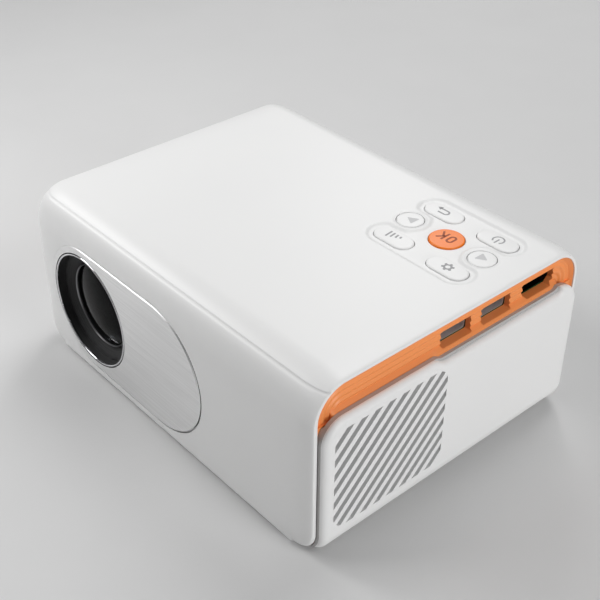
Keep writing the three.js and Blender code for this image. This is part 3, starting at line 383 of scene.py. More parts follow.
def placed(axis, outline, level):
    """Lays a flat outline across an axis, at one level along it."""
    if axis == "X":
        return [(level, a, b) for a, b in outline]
    if axis == "Y":
        return [(a, level, b) for a, b in outline]
    return [(a, b, level) for a, b in outline]


def join_rings(name, rings, closed=False):
    """Quads between rings with equal numbers of points. Open stacks get a face at both ends."""
    count = len(rings[0])
    points = [point for ring in rings for point in ring]
    faces = []
    for level in range(len(rings) if closed else len(rings) - 1):
        here = level * count
        there = (level + 1) % len(rings) * count
        for side in range(count):
            after = (side + 1) % count
            faces.append((here + side, here + after, there + after, there + side))
    if not closed:
        faces.append(tuple(range(count)))
        faces.append(tuple(range(len(points) - count, len(points))))
    return make_object(name, points, faces)


def loft(name, axis, levels):
    """A solid through outlines, each given with its level along the axis."""
    return join_rings(name, [placed(axis, outline, level) for outline, level in levels])


def prism(name, axis, outline, low, high):
    return loft(name, axis, [(outline, low), (outline, high)])


def turned(name, axis, middle, profile, steps=FINE_ROUND, closed=False):
    """A solid of revolution: the profile holds pairs of radius and level along the axis."""
    rings = []
    for radius, level in profile:
        rings.append(placed(axis, circle(*middle, max(radius, ON_AXIS), steps), level))
    return join_rings(name, rings, closed)


def gather(name, pieces):
    """Joins separate meshes into one object, without a boolean."""
    work = bmesh.new()
    for piece in pieces:
        work.from_mesh(piece.data)
        bpy.data.objects.remove(piece)
    mesh = bpy.data.meshes.new(name)
    work.to_mesh(mesh)
    work.free()
    piece = bpy.data.objects.new(name, mesh)
    bpy.context.scene.collection.objects.link(piece)
    return piece


OVERRUN = 1


def carve(piece, *cutters, operation="DIFFERENCE"):
    """Applies one exact boolean after another and removes the cutters."""
    for cutter in cutters:
        step = piece.modifiers.new("carve", "BOOLEAN")
        step.operation = operation
        step.solver = "EXACT"
        step.object = cutter
        bpy.context.view_layer.update()
        result = piece.evaluated_get(bpy.context.evaluated_depsgraph_get())
        mesh = bpy.data.meshes.new_from_object(result)
        piece.modifiers.clear()
        piece.data = mesh
        bpy.data.objects.remove(cutter)
    return piece


def dress(piece, body, material, replaced=(), crease=32):
    """Gives a piece its finish and its body, and hides the nodes that it stands for."""
    piece.data.materials.clear()
    piece.data.materials.append(material)
    piece.data.shade_smooth()
    piece.data.set_sharp_from_angle(angle=math.radians(crease))
    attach(piece, body)
    if replaced:
        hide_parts(*replaced)
    print(piece.name, "has", len(piece.data.polygons), "faces")
    return piece


# %% [markdown]
# ## The housing's form
# The housing is a sleeve along X. Its section has large radii on top and small ones below. At both
# ends the surface rolls inwards over 9 mm, by 1.4 mm, which is a quarter of an ellipse: that roll
# catches the light as a soft band before the sharp rim. The lower corners, seen from the front,
# have a radius of 9 mm, and the roll follows them.

# %% Sizes of the housing
TOP_RADIUS = 12.8
UNDER_RADIUS = 1.9
END_LENGTH = 9
END_DROP = 1.4
SIDE_WALL = 2.4
TOP_WALL = 2
HALF_DEPTH = (REAR_Y - FRONT_Y) / 2
SEAM_LOW = 61.75
SEAM_HIGH = 62.35
END_STEPS = 18
MIDDLE_STEPS = 6
UNDER_STEPS = 8
OVER_STEPS = 20
WALL_STEPS = 22
WALL_CROWDING = 1.6


def roll(from_rim):
    """How far the surface has dropped at this distance from the rim."""
    share = min(max(1 - from_rim / END_LENGTH, 0), 1)
    return END_DROP * (1 - math.sqrt(1 - share * share))


def housing_section(inset, top_inset, low_inset):
    """The sleeve's section as pairs of Y and Z, set in from the outside."""
    reach = HALF_DEPTH - inset
    under = UNDER_RADIUS - inset
    over = TOP_RADIUS - inset
    return rounded_box(
        MIDDLE_Y - reach, MIDDLE_Y + reach, BASE_Z + low_inset, TOP_Z - top_inset,
        (under, under, over, over),
    )


def rim_distance(x, z):
    """Distance to the housing's end, round its lower corner as well."""
    along = abs(x) - (RIM_X - END_LENGTH)
    above = BASE_Z + END_LENGTH - z
    if along > 0 and above > 0:
        return END_LENGTH - math.hypot(along, above)
    return RIM_X - abs(x)


print("the roll drops", round(roll(3), 3), "mm at 3 mm from the rim")


# %% The outside of the sleeve
def sleeve_ring(x):
    """One ring of the sleeve's outside. Its underside rises in the lower corners."""
    along = max(abs(x) - (RIM_X - END_LENGTH), 0)
    rise = END_LENGTH - math.sqrt(max(END_LENGTH ** 2 - along ** 2, 0))
    wall_low = BASE_Z + rise + UNDER_RADIUS
    wall_high = TOP_Z - TOP_RADIUS
    half = arc(HALF_DEPTH - UNDER_RADIUS, wall_low, UNDER_RADIUS, 270, 360, UNDER_STEPS)
    for step in range(1, WALL_STEPS):
        share = (step / WALL_STEPS) ** WALL_CROWDING
        half.append((HALF_DEPTH, wall_low + share * (wall_high - wall_low)))
    side = []
    for y, z in half:
        out_share = max(0.0, (y - HALF_DEPTH + UNDER_RADIUS) / UNDER_RADIUS)
        side.append((y - roll(rim_distance(x, z)) * out_share, z))
    over = TOP_RADIUS - roll(RIM_X - abs(x))
    side += arc(HALF_DEPTH - TOP_RADIUS, wall_high, over, 0, 90, OVER_STEPS)
    front = [(x, MIDDLE_Y - y, z) for y, z in reversed(side)]
    return front + [(x, MIDDLE_Y + y, z) for y, z in side]


def end_stations():
    """Places along X: close together in the rolls and wide apart between them."""
    flat = RIM_X - END_LENGTH
    turns = [math.sin(math.pi / 2 * step / END_STEPS) for step in range(END_STEPS + 1)]
    right = [flat + END_LENGTH * turn for turn in turns]
    middle = [flat * step / MIDDLE_STEPS for step in range(1 - MIDDLE_STEPS, MIDDLE_STEPS)]
    return [-x for x in reversed(right)] + middle + right


stations = end_stations()
print("the sleeve has", len(stations), "stations along X")

# %% [markdown]
# ## Main shell
# The shell is one moulding: front wall, base and rear wall. The sleeve's solid is cut open inside
# and above the seam. A tongue stays behind the seam, 0.25 mm back, so the seam is a shallow groove
# and not a hole. The pocket for the plate, the lens opening and the holes in the base come last.
# The pocket lies a little to the right and low, so that the plate's shadow gap shows there.

# %% Places of what sits in the shell
plate_low, plate_high = low_high("bezel_plate")
cell_low, cell_high = low_high("lens_cell")
trim_ring_low, trim_ring_high = low_high("lens_trim_ring")
LENS_X = (trim_ring_low.x + trim_ring_high.x) / 2
LENS_Z = (trim_ring_low.z + trim_ring_high.z) / 2
RECESS_RADIUS = (trim_ring_high.x - trim_ring_low.x) / 2
PLATE_LENGTH = plate_high.x - plate_low.x
PLATE_WIDTH = plate_high.z - plate_low.z
PLATE_X = (plate_high.x + plate_low.x) / 2
CLEARANCE = 0.3
PLATE_GAP = 0.2
LIP_GAP = 0.05
OPENING_GAP = 0.8
SCREW_SEAT = 1.6
GROOVE_DEPTH = 0.25
GROOVE_CORNERS = (
    (SEAM_LOW + 0.1, -GROOVE_DEPTH), (SEAM_LOW - 0.2, 2 * GROOVE_DEPTH),
    (SEAM_HIGH + LIP_GAP, 2 * GROOVE_DEPTH), (SEAM_HIGH + LIP_GAP, -GROOVE_DEPTH),
)
feet = [low_high(f"foot_{number}") for number in range(1, 5)]
screws = [low_high(f"base_screw_{number}") for number in range(1, 5)]
insert_low, insert_high = low_high("tripod_insert")
print("lens axis at", round(LENS_X, 2), round(LENS_Z, 2))


# %% Build the shell
def seam_groove(turn):
    """A cutter that follows the seam round the roll, at the front for -1 and at the rear for 1."""
    rings = []
    for x in [-RIM_X - OVERRUN, *stations, RIM_X + OVERRUN]:
        over = TOP_RADIUS - roll(RIM_X - abs(x))
        ring = []
        for z, grow in GROOVE_CORNERS:
            up = z - (TOP_Z - TOP_RADIUS)
            reach = HALF_DEPTH - TOP_RADIUS + math.sqrt((over + grow) ** 2 - up ** 2)
            ring.append((x, MIDDLE_Y + turn * reach, z))
        rings.append(ring)
    return join_rings("groove", rings)


def through(name, outline):
    """A cutter along the whole housing."""
    return prism(name, "X", outline, -RIM_X - OVERRUN, RIM_X + OVERRUN)


def base_hole(low, high, top, steps):
    """A round hole in the base for a piece with these corners."""
    middle = centre(low, high)
    radius = (high.x - low.x) / 2 + CLEARANCE
    return prism("base hole", "Z", circle(middle.x, middle.y, radius, steps), -OVERRUN, top)


def build_shell():
    shell = join_rings("main_shell_fine", [sleeve_ring(x) for x in stations])
    inside = through("inside", housing_section(SIDE_WALL, TOP_WALL, SIDE_WALL))
    room_y = (FRONT_Y - END_LENGTH, REAR_Y + END_LENGTH)
    above = [(y, SEAM_HIGH - LIP_GAP) for y in room_y] + [(y, TOP_Z + TOP_RADIUS) for y in room_y[::-1]]
    cutters = [inside, through("above", above), seam_groove(-1), seam_groove(1)]
    pocket_size = (PLATE_LENGTH + 3 * PLATE_GAP, PLATE_WIDTH + 3 * PLATE_GAP)
    pocket = pill(PLATE_X + PLATE_GAP, LENS_Z - PLATE_GAP, *pocket_size, ROUND)
    cutters.append(prism("pocket", "Y", pocket, FRONT_Y - OVERRUN, plate_high.y))
    opening = circle(LENS_X, LENS_Z, RECESS_RADIUS + OPENING_GAP, FINE_ROUND)
    cutters.append(prism("opening", "Y", opening, FRONT_Y - OVERRUN, FRONT_Y + SIDE_WALL + OVERRUN))
    holes = [base_hole(low, high, high.z + CLEARANCE, SMALL_ROUND) for low, high in feet]
    holes += [base_hole(low, high, low.z + SCREW_SEAT, TINY_ROUND) for low, high in screws]
    holes.append(base_hole(insert_low, insert_high, BASE_Z + SIDE_WALL + OVERRUN, SMALL_ROUND))
    cutters.append(gather("base holes", holes))
    return carve(shell, *cutters)


main_shell = dress(build_shell(), "housing", white_abs, ["main_shell"])

# %% [markdown]
# ## Top cover
# The cover is a shallow lid, and its keypad is a recess 0.6 mm deep with soft walls. The top is
# made as a net of points whose height is worked out: the sleeve's form, less the roll at the ends,
# less the recess. The recess comes from a distance to its outline, so its walls stay 1.5 mm wide
# all the way round. Two rounded rows join in the middle, and an island with a shallow dish stays
# round each small key.

# %% The keys' places and the recess
KEYS = ("return", "power", "source", "settings", "previous", "next", "ok")
FLANGE = 0.8
PAD_DEPTH = 0.6
PAD_MARGIN = 2.2
PAD_WALL = 1.5
KEY_GAP = 0.24
DISH_DEPTH = 0.25
DISH_REACH = 1.5
ISLAND_CLEAR = 2
ROW_BLEND = 1
ISLAND_BLEND = 2
ROUND_KEYS = ("previous", "next")
PILL_SHARE = 1.3


def key_place(name):
    """Centre, length and width of a key's cap."""
    low, high = low_high(f"{name}_key")
    middle = centre(low, high)
    length = high.x - low.x - 2 * FLANGE
    width = high.y - low.y - 2 * FLANGE
    return middle.x, middle.y, max(length, width), min(length, width)


def is_pill(name):
    _, _, length, width = key_place(name)
    return length > PILL_SHARE * width


def key_outline(name, grow=0.0):
    x, y, length, width = key_place(name)
    if is_pill(name):
        return pill(x, y, length + 2 * grow, width + 2 * grow)
    return circle(x, y, length / 2 + grow)


def soft_step(value):
    share = min(max(value, 0), 1)
    return share * share * (3 - 2 * share)


def soft_least(a, b, reach):
    """The lesser of two distances, with the corner between them rounded off."""
    share = max(reach - abs(a - b), 0) / reach
    return min(a, b) - share * share * reach / 4


places = {name: key_place(name) for name in KEYS}
ROWS_Y = (places["return"][1], places["source"][1])
PAD_X = (places["return"][0] + places["power"][0]) / 2
PAD_REACH = (places["power"][0] - places["return"][0]) / 2
ROW_LENGTH = 2 * PAD_REACH + places["power"][2] + 2 * PAD_MARGIN
ROW_WIDTH = places["power"][3] + 2 * PAD_MARGIN
print("keys at", {name: (round(place[0], 1), round(place[1], 1)) for name, place in places.items()})


def pad_distance(x, y):
    """Signed distance to the recess outline, negative inside."""
    rows = []
    for row_y in ROWS_Y:
        across = max(abs(x - PAD_X) - (ROW_LENGTH - ROW_WIDTH) / 2, 0)
        rows.append(math.hypot(across, y - row_y) - ROW_WIDTH / 2)
    neck_x = abs(x - PAD_X) - PAD_REACH
    neck_y = abs(y - sum(ROWS_Y) / 2) - (ROWS_Y[0] - ROWS_Y[1]) / 2
    neck = max(neck_x, neck_y)
    distance = soft_least(soft_least(*rows, ROW_BLEND), neck, ROW_BLEND)
    for name in ROUND_KEYS:
        key_x, key_y, length, _ = places[name]
        island = math.hypot(x - key_x, y - key_y) - length / 2 - ISLAND_CLEAR
        distance = -soft_least(-distance, island, ISLAND_BLEND)
    return distance


def pad_depth(x, y):
    """The depth of the recess, or of the shallow dish round each small key."""
    depth = PAD_DEPTH * soft_step(0.5 - pad_distance(x, y) / PAD_WALL)
    for name in ROUND_KEYS:
        key_x, key_y, length, _ = places[name]
        away = math.hypot(x - key_x, y - key_y) - length / 2
        depth = max(depth, DISH_DEPTH * soft_step(1 - away / DISH_REACH))
    return depth


# %% The net of the cover
NET_PITCH = 0.36
NET_MARGIN = 2
REAR_NET_MARGIN = 1.4
LEFT_REST = 1
RIGHT_REST = 0.2
PLAIN_PITCH = 20
COVER_DEPTH = 4


def cover_stations(low, high, before, after):
    """Places from low to high at the net's pitch, between the plain stretches of the cover."""
    steps = round((high - low) / NET_PITCH)
    return before + [low + (high - low) * step / steps for step in range(steps + 1)] + after


PAD_LOW_X = PAD_X - ROW_LENGTH / 2 - NET_MARGIN
PAD_HIGH_X = PAD_X + ROW_LENGTH / 2 + NET_MARGIN
PAD_LOW_Y = ROWS_Y[1] - ROW_WIDTH / 2 - NET_MARGIN
PAD_HIGH_Y = ROWS_Y[0] + ROW_WIDTH / 2 + REAR_NET_MARGIN
left_part = [x for x in stations if x < PAD_LOW_X - LEFT_REST]
right_part = [x for x in stations if x > PAD_HIGH_X + RIGHT_REST]
cover_x = cover_stations(PAD_LOW_X, PAD_HIGH_X, left_part, right_part)
plain_part = [MIDDLE_Y - 2 * PLAIN_PITCH, MIDDLE_Y - PLAIN_PITCH]
cover_y = cover_stations(PAD_LOW_Y, PAD_HIGH_Y, plain_part, [])
print("the net has", len(cover_x), "places along X and", len(cover_y), "along Y")


# %% Build the cover
def cover_section(radius_loss, top_loss, level):
    """The lid's section from the front seam to the rear one, as pairs of Y and Z."""
    radius = TOP_RADIUS - radius_loss
    low = TOP_Z - top_loss - radius
    start = math.degrees(math.asin((level - low) / radius))
    reach = HALF_DEPTH - radius_loss - radius
    rear = [(MIDDLE_Y + y, z) for y, z in arc(reach, low, radius, start, 90, OVER_STEPS)]
    front = [(2 * MIDDLE_Y - y, z) for y, z in rear]
    return front + [(y, TOP_Z - top_loss) for y in cover_y] + rear[::-1]


def cover_columns(x):
    """The outside and the inside of the lid at one place along X."""
    drop = roll(RIM_X - abs(x))
    outside = []
    for y, z in cover_section(drop, drop, SEAM_HIGH):
        outside.append((x, y, z - pad_depth(x, y) if z > TOP_Z - LIP_GAP else z))
    inside = [(x, y, z) for y, z in cover_section(SIDE_WALL, TOP_WALL, SEAM_HIGH)]
    return outside, inside


def build_cover():
    rings = []
    for x in cover_x:
        outside, inside = cover_columns(x)
        rings.append(outside + inside[::-1])
    cover = join_rings("top_cover_fine", rings)
    holes = []
    for name in KEYS:
        hole = key_outline(name, KEY_GAP)
        holes.append(prism("key hole", "Z", hole, TOP_Z - COVER_DEPTH, TOP_Z + OVERRUN))
    return carve(cover, gather("key holes", holes))


top_cover = dress(build_cover(), "housing", white_abs, ["top_cover"])

# %% [markdown]
# ## Keys
# Each key is a small moulded cap with a rounded edge, nearly flush with the cover, and a flange
# below that keeps it in. The edge is a quarter of an ellipse, 0.5 mm wide and 0.3 mm deep. Each
# cap rides on its own body, so it travels alone when it is pressed.

# %% Build the caps
EDGE_WIDTH = 0.5
EDGE_DROP = 0.3
EDGE_STEPS = 8
FLANGE_HEIGHT = 0.5


def build_cap(name):
    low, high = low_high(f"{name}_key")
    flange_top = low.z + FLANGE_HEIGHT
    levels = [
        (key_outline(name, FLANGE), low.z),
        (key_outline(name, FLANGE), flange_top),
        (key_outline(name), flange_top),
    ]
    for step in range(EDGE_STEPS + 1):
        angle = math.pi / 2 * step / EDGE_STEPS
        inset = EDGE_WIDTH * (1 - math.cos(angle))
        levels.append((key_outline(name, -inset), high.z - EDGE_DROP * (1 - math.sin(angle))))
    return loft(f"{name}_cap", "Z", levels)


for name in KEYS:
    slot, finish = ("orange_abs", orange_key_abs) if name == "ok" else ("white_abs", key_abs)
    dress(build_cap(name), f"{name}_button", finish, [f"{name}_key"])

# %% [markdown]
# ## Printed symbols
# The symbols are pad-printed ink, about 0.02 mm thick. They are drawn in millimetres from the
# centre of their key: strokes are flat bands along a line, and rings are bands between two
# outlines. They are made as thin solids that lie on the cap and ride on the same body.

# %% Strokes and filled shapes
INK = 0.02
STROKE = 0.55
WIDE_STROKE = 0.65
SOFT_CORNER = 0.25


def stroke(points, width=STROKE):
    """Quads along a line of points, with square ends."""
    sides = []
    for place, point in enumerate(points):
        before = Vector(points[max(place - 1, 0)])
        after = Vector(points[min(place + 1, len(points) - 1)])
        along = (after - before).normalized()
        across = Vector((-along.y, along.x)) * width / 2
        sides.append((Vector(point) + across, Vector(point) - across))
    return [(a[0], a[1], b[1], b[0]) for a, b in zip(sides, sides[1:])]


def ring_band(outer, inner):
    """Quads between two closed outlines with equal numbers of points."""
    outer_next = outer[1:] + outer[:1]
    inner_next = inner[1:] + inner[:1]
    return list(zip(outer, outer_next, inner_next, inner))


def print_on(name, shapes, ink):
    """Lays flat shapes on the cap of a key, each as thick as the ink."""
    x, y, _, _ = places[name]
    top = low_high(f"{name}_key")[1].z
    prints = []
    for shape in shapes:
        outline = [(x + a, y + b) for a, b in shape]
        prints.append(prism("print", "Z", outline, top - INK, top + INK))
    return dress(gather(f"{name}_symbol", prints), f"{name}_button", ink)


def gear_outline(root, tip, teeth):
    """A gear's outline: tip and root radius alternate, four points a tooth, one tooth on top."""
    points = []
    for tooth in range(teeth):
        for turn, radius in ((-0.3, root), (-0.18, tip), (0.18, tip), (0.3, root)):
            angle = 2 * math.pi * (tooth + turn) / teeth + math.pi / 2
            points.append((radius * math.cos(angle), radius * math.sin(angle)))
    return points


def triangle():
    """A filled triangle with soft corners that points along X."""
    corners = ((-1.5, 1.75), (-1.5, -1.75), (1.45, 0))
    points = []
    for corner, start in zip(corners, (60, 180, 300)):
        points += arc(*corner, SOFT_CORNER, start, start + 120, 3)
    return [(x - 0.1, y + 0.4) for x, y in points]


def symbol_shapes():
    """Every key's symbol, in millimetres from the middle of its key."""
    bars = ((-2.9, 2.2, -1.4), (-1.4, 2.1, -0.7), (0.1, 2.1, 0.1), (1.5, 2.0, 0.9))
    hook = [(-2.6, 1.3), (0.6, 1.3), *arc(0.6, 0.15, 1.15, 75, -75, 8), (0.6, -1.0), (-2.0, -1.0)]
    tip = [(-2.2, 2.35), (-2.2, 0.3), (-3.9, 1.3)]
    gear = ring_band(gear_outline(1.55, 2.15, 6), gear_outline(0.85, 0.85, 6))
    return {
        "return": stroke(hook, WIDE_STROKE) + [tip],
        "power": stroke(arc(0, 0.3, 1.95, -50, 230, 24)) + stroke([(0, 0.8), (0, -2.0)]),
        "source": sum((stroke([(x, high), (x + 0.35, low)], WIDE_STROKE) for x, high, low in bars), []),
        "settings": [[(x - 0.1, y + 0.3) for x, y in quad] for quad in gear],
        "previous": [[(-x, y) for x, y in triangle()]],
        "next": [triangle()],
    }


for name, shapes in symbol_shapes().items():
    print_on(name, shapes, ink_pale if name in ROUND_KEYS else ink_grey)


# %% The legend on the middle key
def legend_shapes():
    """The letters O and K, 4.4 mm tall and turned half round, as on the real key."""
    wide, tall, line = 1.35, 2.2, 0.75
    outer = rounded_box(-wide, wide, -tall, tall, (wide,) * 4, 8)
    inner = rounded_box(-wide + line, wide - line, -tall + line, tall - line, (wide - line,) * 4, 8)
    letter_o = ring_band(outer, inner)
    letter_k = stroke([(-1.1, -tall), (-1.1, tall)], line) + stroke([(-0.9, -0.3), (1.1, tall)], line)
    letter_k += stroke([(-0.4, 0.2), (1.25, -tall)], line)
    shapes = []
    for letter, shift in ((letter_o, -1.55), (letter_k, 2.2)):
        shapes += [[(-(a + shift), 0.55 - b) for a, b in shape] for shape in letter]
    return shapes


print_on("ok", legend_shapes(), ink_brown)

# %% [markdown]
# ## Port frames
# The orange walls carry the sockets. Four soft ripples run along the top and down both corners,
# each a raised cosine 0.45 mm deep at a pitch of 2.05 mm, and they end on a level line, below which
# the wall steps out by 0.5 mm. The wall is a stack of outlines, each set in a little more than the
# last. How far its points sink follows from the distance to the outside, so the ripples keep their
# pitch round the corner. A ledge with a sloping top runs along the foot, and its lip reaches out
# over the notch for the plugs. Along the rear, a slope carries the orange out to the rim.

# %% The rippled wall
FRAME_INSET = SIDE_WALL + CLEARANCE
FRAME_WALL = 2.2
RIPPLE_DEPTH = 0.45
RIPPLE_PITCH = 2.05
RIPPLE_COUNT = 4
RIPPLE_START = 3.75
RIPPLE_STEPS = 8
LEVEL_HALF = 0.04
frame_low = low_high("right_port_frame")[0]
panel_low, panel_high = low_high("right_panel")
trim_low, trim_high = low_high("right_panel_trim")
FRAME_BACK = frame_low.x
FRAME_FACE = FRAME_BACK + FRAME_WALL
LEDGE_Z = panel_high.z - 0.2
RIPPLE_LOW = LEDGE_Z - 2.3


def ripple(inset):
    share = (inset - RIPPLE_START) / RIPPLE_PITCH
    if share < 0 or share > RIPPLE_COUNT:
        return 0
    return RIPPLE_DEPTH * (0.5 - 0.5 * math.cos(2 * math.pi * share))


def frame_ring(inset, x, sink=0.0):
    """A ring of the wall. Points above the level line sink by the ripple's depth."""
    radius = max(TOP_RADIUS - inset, SHARP)
    reach = HALF_DEPTH - inset
    side = [(reach, z) for z in (frame_low.z + inset - FRAME_INSET, RIPPLE_LOW - LEVEL_HALF)]
    side.append((reach, RIPPLE_LOW + LEVEL_HALF))
    side += arc(HALF_DEPTH - TOP_RADIUS, TOP_Z - TOP_RADIUS, radius, 0, 90, OVER_STEPS)
    ring = [(x - (sink if z > RIPPLE_LOW else 0), MIDDLE_Y + y, z) for y, z in side]
    return ring + [(a, 2 * MIDDLE_Y - y, z) for a, y, z in reversed(ring)]


def rippled_wall(name):
    rings = [frame_ring(FRAME_INSET, FRAME_BACK), frame_ring(FRAME_INSET, FRAME_FACE)]
    for step in range(1, RIPPLE_COUNT * RIPPLE_STEPS + 1):
        inset = RIPPLE_START + RIPPLE_PITCH * step / RIPPLE_STEPS
        rings.append(frame_ring(inset, FRAME_FACE, ripple(inset)))
    return join_rings(name, rings)


print("a ripple is", round(ripple(RIPPLE_START + RIPPLE_PITCH / 2), 2), "mm deep")


# %% The socket openings
SOCKET_Z = centre(*low_high("data_socket_1")).z
DATA_SIZE = (13.4, 5.8)
DATA_CORNER = 0.5
CORNER_STEPS = 6
VIDEO_SIZE = (15.3, 5.8)
VIDEO_CHAMFER = 1.9
INLET_HOLE = 3.3
JACK_HOLE = 2.3


def box_about(y, z, width, height, radius, steps):
    """A rounded box on the X side, about its middle."""
    return rounded_box(y - width / 2, y + width / 2, z - height / 2, z + height / 2, (radius,) * 4, steps)


def data_outline(y, width, height, radius=DATA_CORNER):
    return box_about(y, SOCKET_Z, width, height, radius, CORNER_STEPS)


def video_outline(y, width, height):
    """Wide at the top, with both lower corners cut off."""
    low, high, half = SOCKET_Z - height / 2, SOCKET_Z + height / 2, width / 2
    return [
        (y - half + VIDEO_CHAMFER, low), (y + half - VIDEO_CHAMFER, low),
        (y + half, low + VIDEO_CHAMFER), (y + half, high),
        (y - half, high), (y - half, low + VIDEO_CHAMFER),
    ]


def socket_y(node):
    return centre(*low_high(node)).y


right_holes = [
    data_outline(socket_y("data_socket_1"), *DATA_SIZE),
    data_outline(socket_y("data_socket_2"), *DATA_SIZE),
    video_outline(socket_y("video_socket"), *VIDEO_SIZE),
]
left_holes = [
    circle(socket_y("power_inlet"), SOCKET_Z, INLET_HOLE, SMALL_ROUND),
    circle(socket_y("av_jack"), SOCKET_Z, JACK_HOLE, SMALL_ROUND),
]
print("openings on the right:", len(right_holes), "and on the left:", len(left_holes))


# %% The ledge and the slope at the rear
LEDGE_REACH = 1.17
LEDGE_SLOPE = 0.7
LEDGE_DEPTH = 2.4
LEDGE_ROOT = 1
LEDGE_FRONT = MIDDLE_Y - 50.8
LEDGE_REAR = MIDDLE_Y + 48.4
LEDGE_END = 1.5
LEDGE_END_REACH = 0.4
LIP_REACH = 1.5
LIP_THICK = 0.85
LIP_CHAMFER = (0.15, 0.2)
LIP_START = -10.9
LIP_END = 47.2
LIP_SLOPE = 3
LIP_STEPS = 10
END_TURNS = 6
RIM_BACK = 0.4
SLOPE_INSET = 3.6
SLOPE_EDGE = 0.2
SLOPE_ROOT = 0.5
SLOPE_SHIFT = 12
SLOPE_FRONT = 30


def dip_share(y):
    """0 outside the notch of the trim and 1 inside it, with a soft slope at both ends."""
    into = y - MIDDLE_Y - LIP_START
    left = LIP_END - (y - MIDDLE_Y)
    return soft_step(into / LIP_SLOPE) * soft_step(left / LIP_SLOPE)


def ledge_ring(y, reach):
    """The ledge's section: a straight face, and a sloping top that may overhang as a lip."""
    face = FRAME_FACE + min(reach, LEDGE_REACH)
    edge = FRAME_FACE + reach
    back = FRAME_FACE - LEDGE_ROOT
    profile = [
        (back, LEDGE_Z - LEDGE_DEPTH), (face, LEDGE_Z - LEDGE_DEPTH), (face, LEDGE_Z - LIP_THICK - SHARP),
        (edge, LEDGE_Z - LIP_THICK), (edge, LEDGE_Z - LIP_CHAMFER[1]), (edge - LIP_CHAMFER[0], LEDGE_Z),
        (back, LEDGE_Z + LEDGE_SLOPE * (reach + LEDGE_ROOT)),
    ]
    return [(x, y, z) for x, z in profile]


def build_ledge():
    """A bar along the wall. Both its ends are rounded off."""
    ends = [LEDGE_END * (1 - math.cos(math.pi / 2 * turn / END_TURNS)) for turn in range(END_TURNS + 1)]
    places_y = [LEDGE_FRONT + end for end in ends]
    for corner in (LIP_START, LIP_END - LIP_SLOPE):
        places_y += [MIDDLE_Y + corner + LIP_SLOPE * step / LIP_STEPS for step in range(LIP_STEPS + 1)]
    places_y += [LEDGE_REAR - end for end in reversed(ends)]
    rings = []
    for y in places_y:
        reach = LEDGE_REACH + (LIP_REACH - LEDGE_REACH) * dip_share(y)
        share = min(y - LEDGE_FRONT, LEDGE_REAR - y, LEDGE_END) / LEDGE_END
        round_share = math.sqrt(1 - (1 - share) ** 2)
        rings.append(ledge_ring(y, LEDGE_END_REACH + (reach - LEDGE_END_REACH) * round_share))
    return join_rings("ledge", rings)


def build_rear_slope():
    """A sloping rim that carries the orange out along the rear wall."""
    front, rear = FRAME_FACE - OVERRUN, RIM_X - RIM_BACK
    outline = housing_section(SIDE_WALL + LIP_GAP, TOP_WALL + LIP_GAP, SIDE_WALL)
    slope = prism("slope", "X", outline, FRAME_FACE - SLOPE_ROOT, rear)
    wide = housing_section(SIDE_WALL + SLOPE_EDGE, TOP_WALL + SLOPE_EDGE, 0)
    narrow = housing_section(SLOPE_INSET, SLOPE_INSET, 0)
    core = loft("core", "X", [(narrow, front), (narrow, FRAME_FACE), (wide, rear), (wide, RIM_X)])
    foot = LEDGE_Z - SLOPE_SHIFT
    rest = [
        (FRONT_Y, 0), (REAR_Y, 0), (REAR_Y, foot), (REAR_Y - SLOPE_SHIFT, foot),
        (MIDDLE_Y + SLOPE_FRONT, TOP_Z), (FRONT_Y, TOP_Z),
    ]
    return carve(slope, core, prism("rest", "X", rest, front, RIM_X))


print("the ledge is", round(LEDGE_REAR - LEDGE_FRONT, 1), "mm long")


# %% Build the port frames
STEP = 0.5
STEP_ROOT = 0.5
WINDOW_SIDE = 4.5
WINDOW_LOW = 6.5
HOLE_REACH = 4


def build_port_frame(name, holes):
    """The rippled wall with its step, its ledge, the rear slope and the socket openings."""
    wall = rippled_wall(name)
    reach = HALF_DEPTH - FRAME_INSET
    step = rounded_box(MIDDLE_Y - reach, MIDDLE_Y + reach, frame_low.z, RIPPLE_LOW, (SHARP,) * 4, 1)
    step = prism("step", "X", step, FRAME_FACE - STEP_ROOT, FRAME_FACE + STEP)
    carve(wall, step, operation="UNION")
    window_top = TOP_Z - LEDGE_Z + LEDGE_DEPTH
    window = housing_section(FRAME_INSET + WINDOW_SIDE, window_top, FRAME_INSET + WINDOW_LOW)
    carve(wall, prism("window", "X", window, FRAME_BACK - OVERRUN, FRAME_FACE + OVERRUN))
    carve(wall, build_ledge(), build_rear_slope(), operation="UNION")
    cutters = []
    for outline in holes:
        cutters.append(prism("socket hole", "X", outline, FRAME_BACK - OVERRUN, FRAME_FACE + HOLE_REACH))
    return carve(wall, gather("socket holes", cutters))


def mirror(piece):
    """Turns a right-hand piece into a left-hand one."""
    piece.data.transform(Matrix.Scale(-1, 4, (1, 0, 0)))
    piece.data.flip_normals()
    return piece


right_frame = build_port_frame("right_port_frame_fine", right_holes)
dress(right_frame, "housing", orange_abs, ["right_port_frame"])
left_frame = mirror(build_port_frame("left_port_frame_fine", left_holes))
dress(left_frame, "housing", orange_abs, ["left_port_frame"])

# %% [markdown]
# ## Grey trims
# A grey trim stands between the orange wall and the white panel, and shows as a thin line.
# Below, it closes the corner between the shell and the panel as a band that follows the shell's
# rounded corner. Its upper edge dips by 0.85 mm where the plugs go in.

# %% Build the trims
FRONT_RADIUS = 8
REAR_RADIUS = 9.8
TRIM_BAR = 2.4
TRIM_LOW_BAR = 3.8
PANEL_WALL = 2
PANEL_BACK = panel_high.x - PANEL_WALL
TRIM_BACK = PANEL_BACK - PANEL_WALL
LOW_RADIUS = 8
DIP = 0.85
DIP_STEPS = 160
DIP_LIFT = 0.002
TRIM_RISE = 0.3
LEDGE_CLEAR = 0.02
LEDGE_UNDER = 2.7


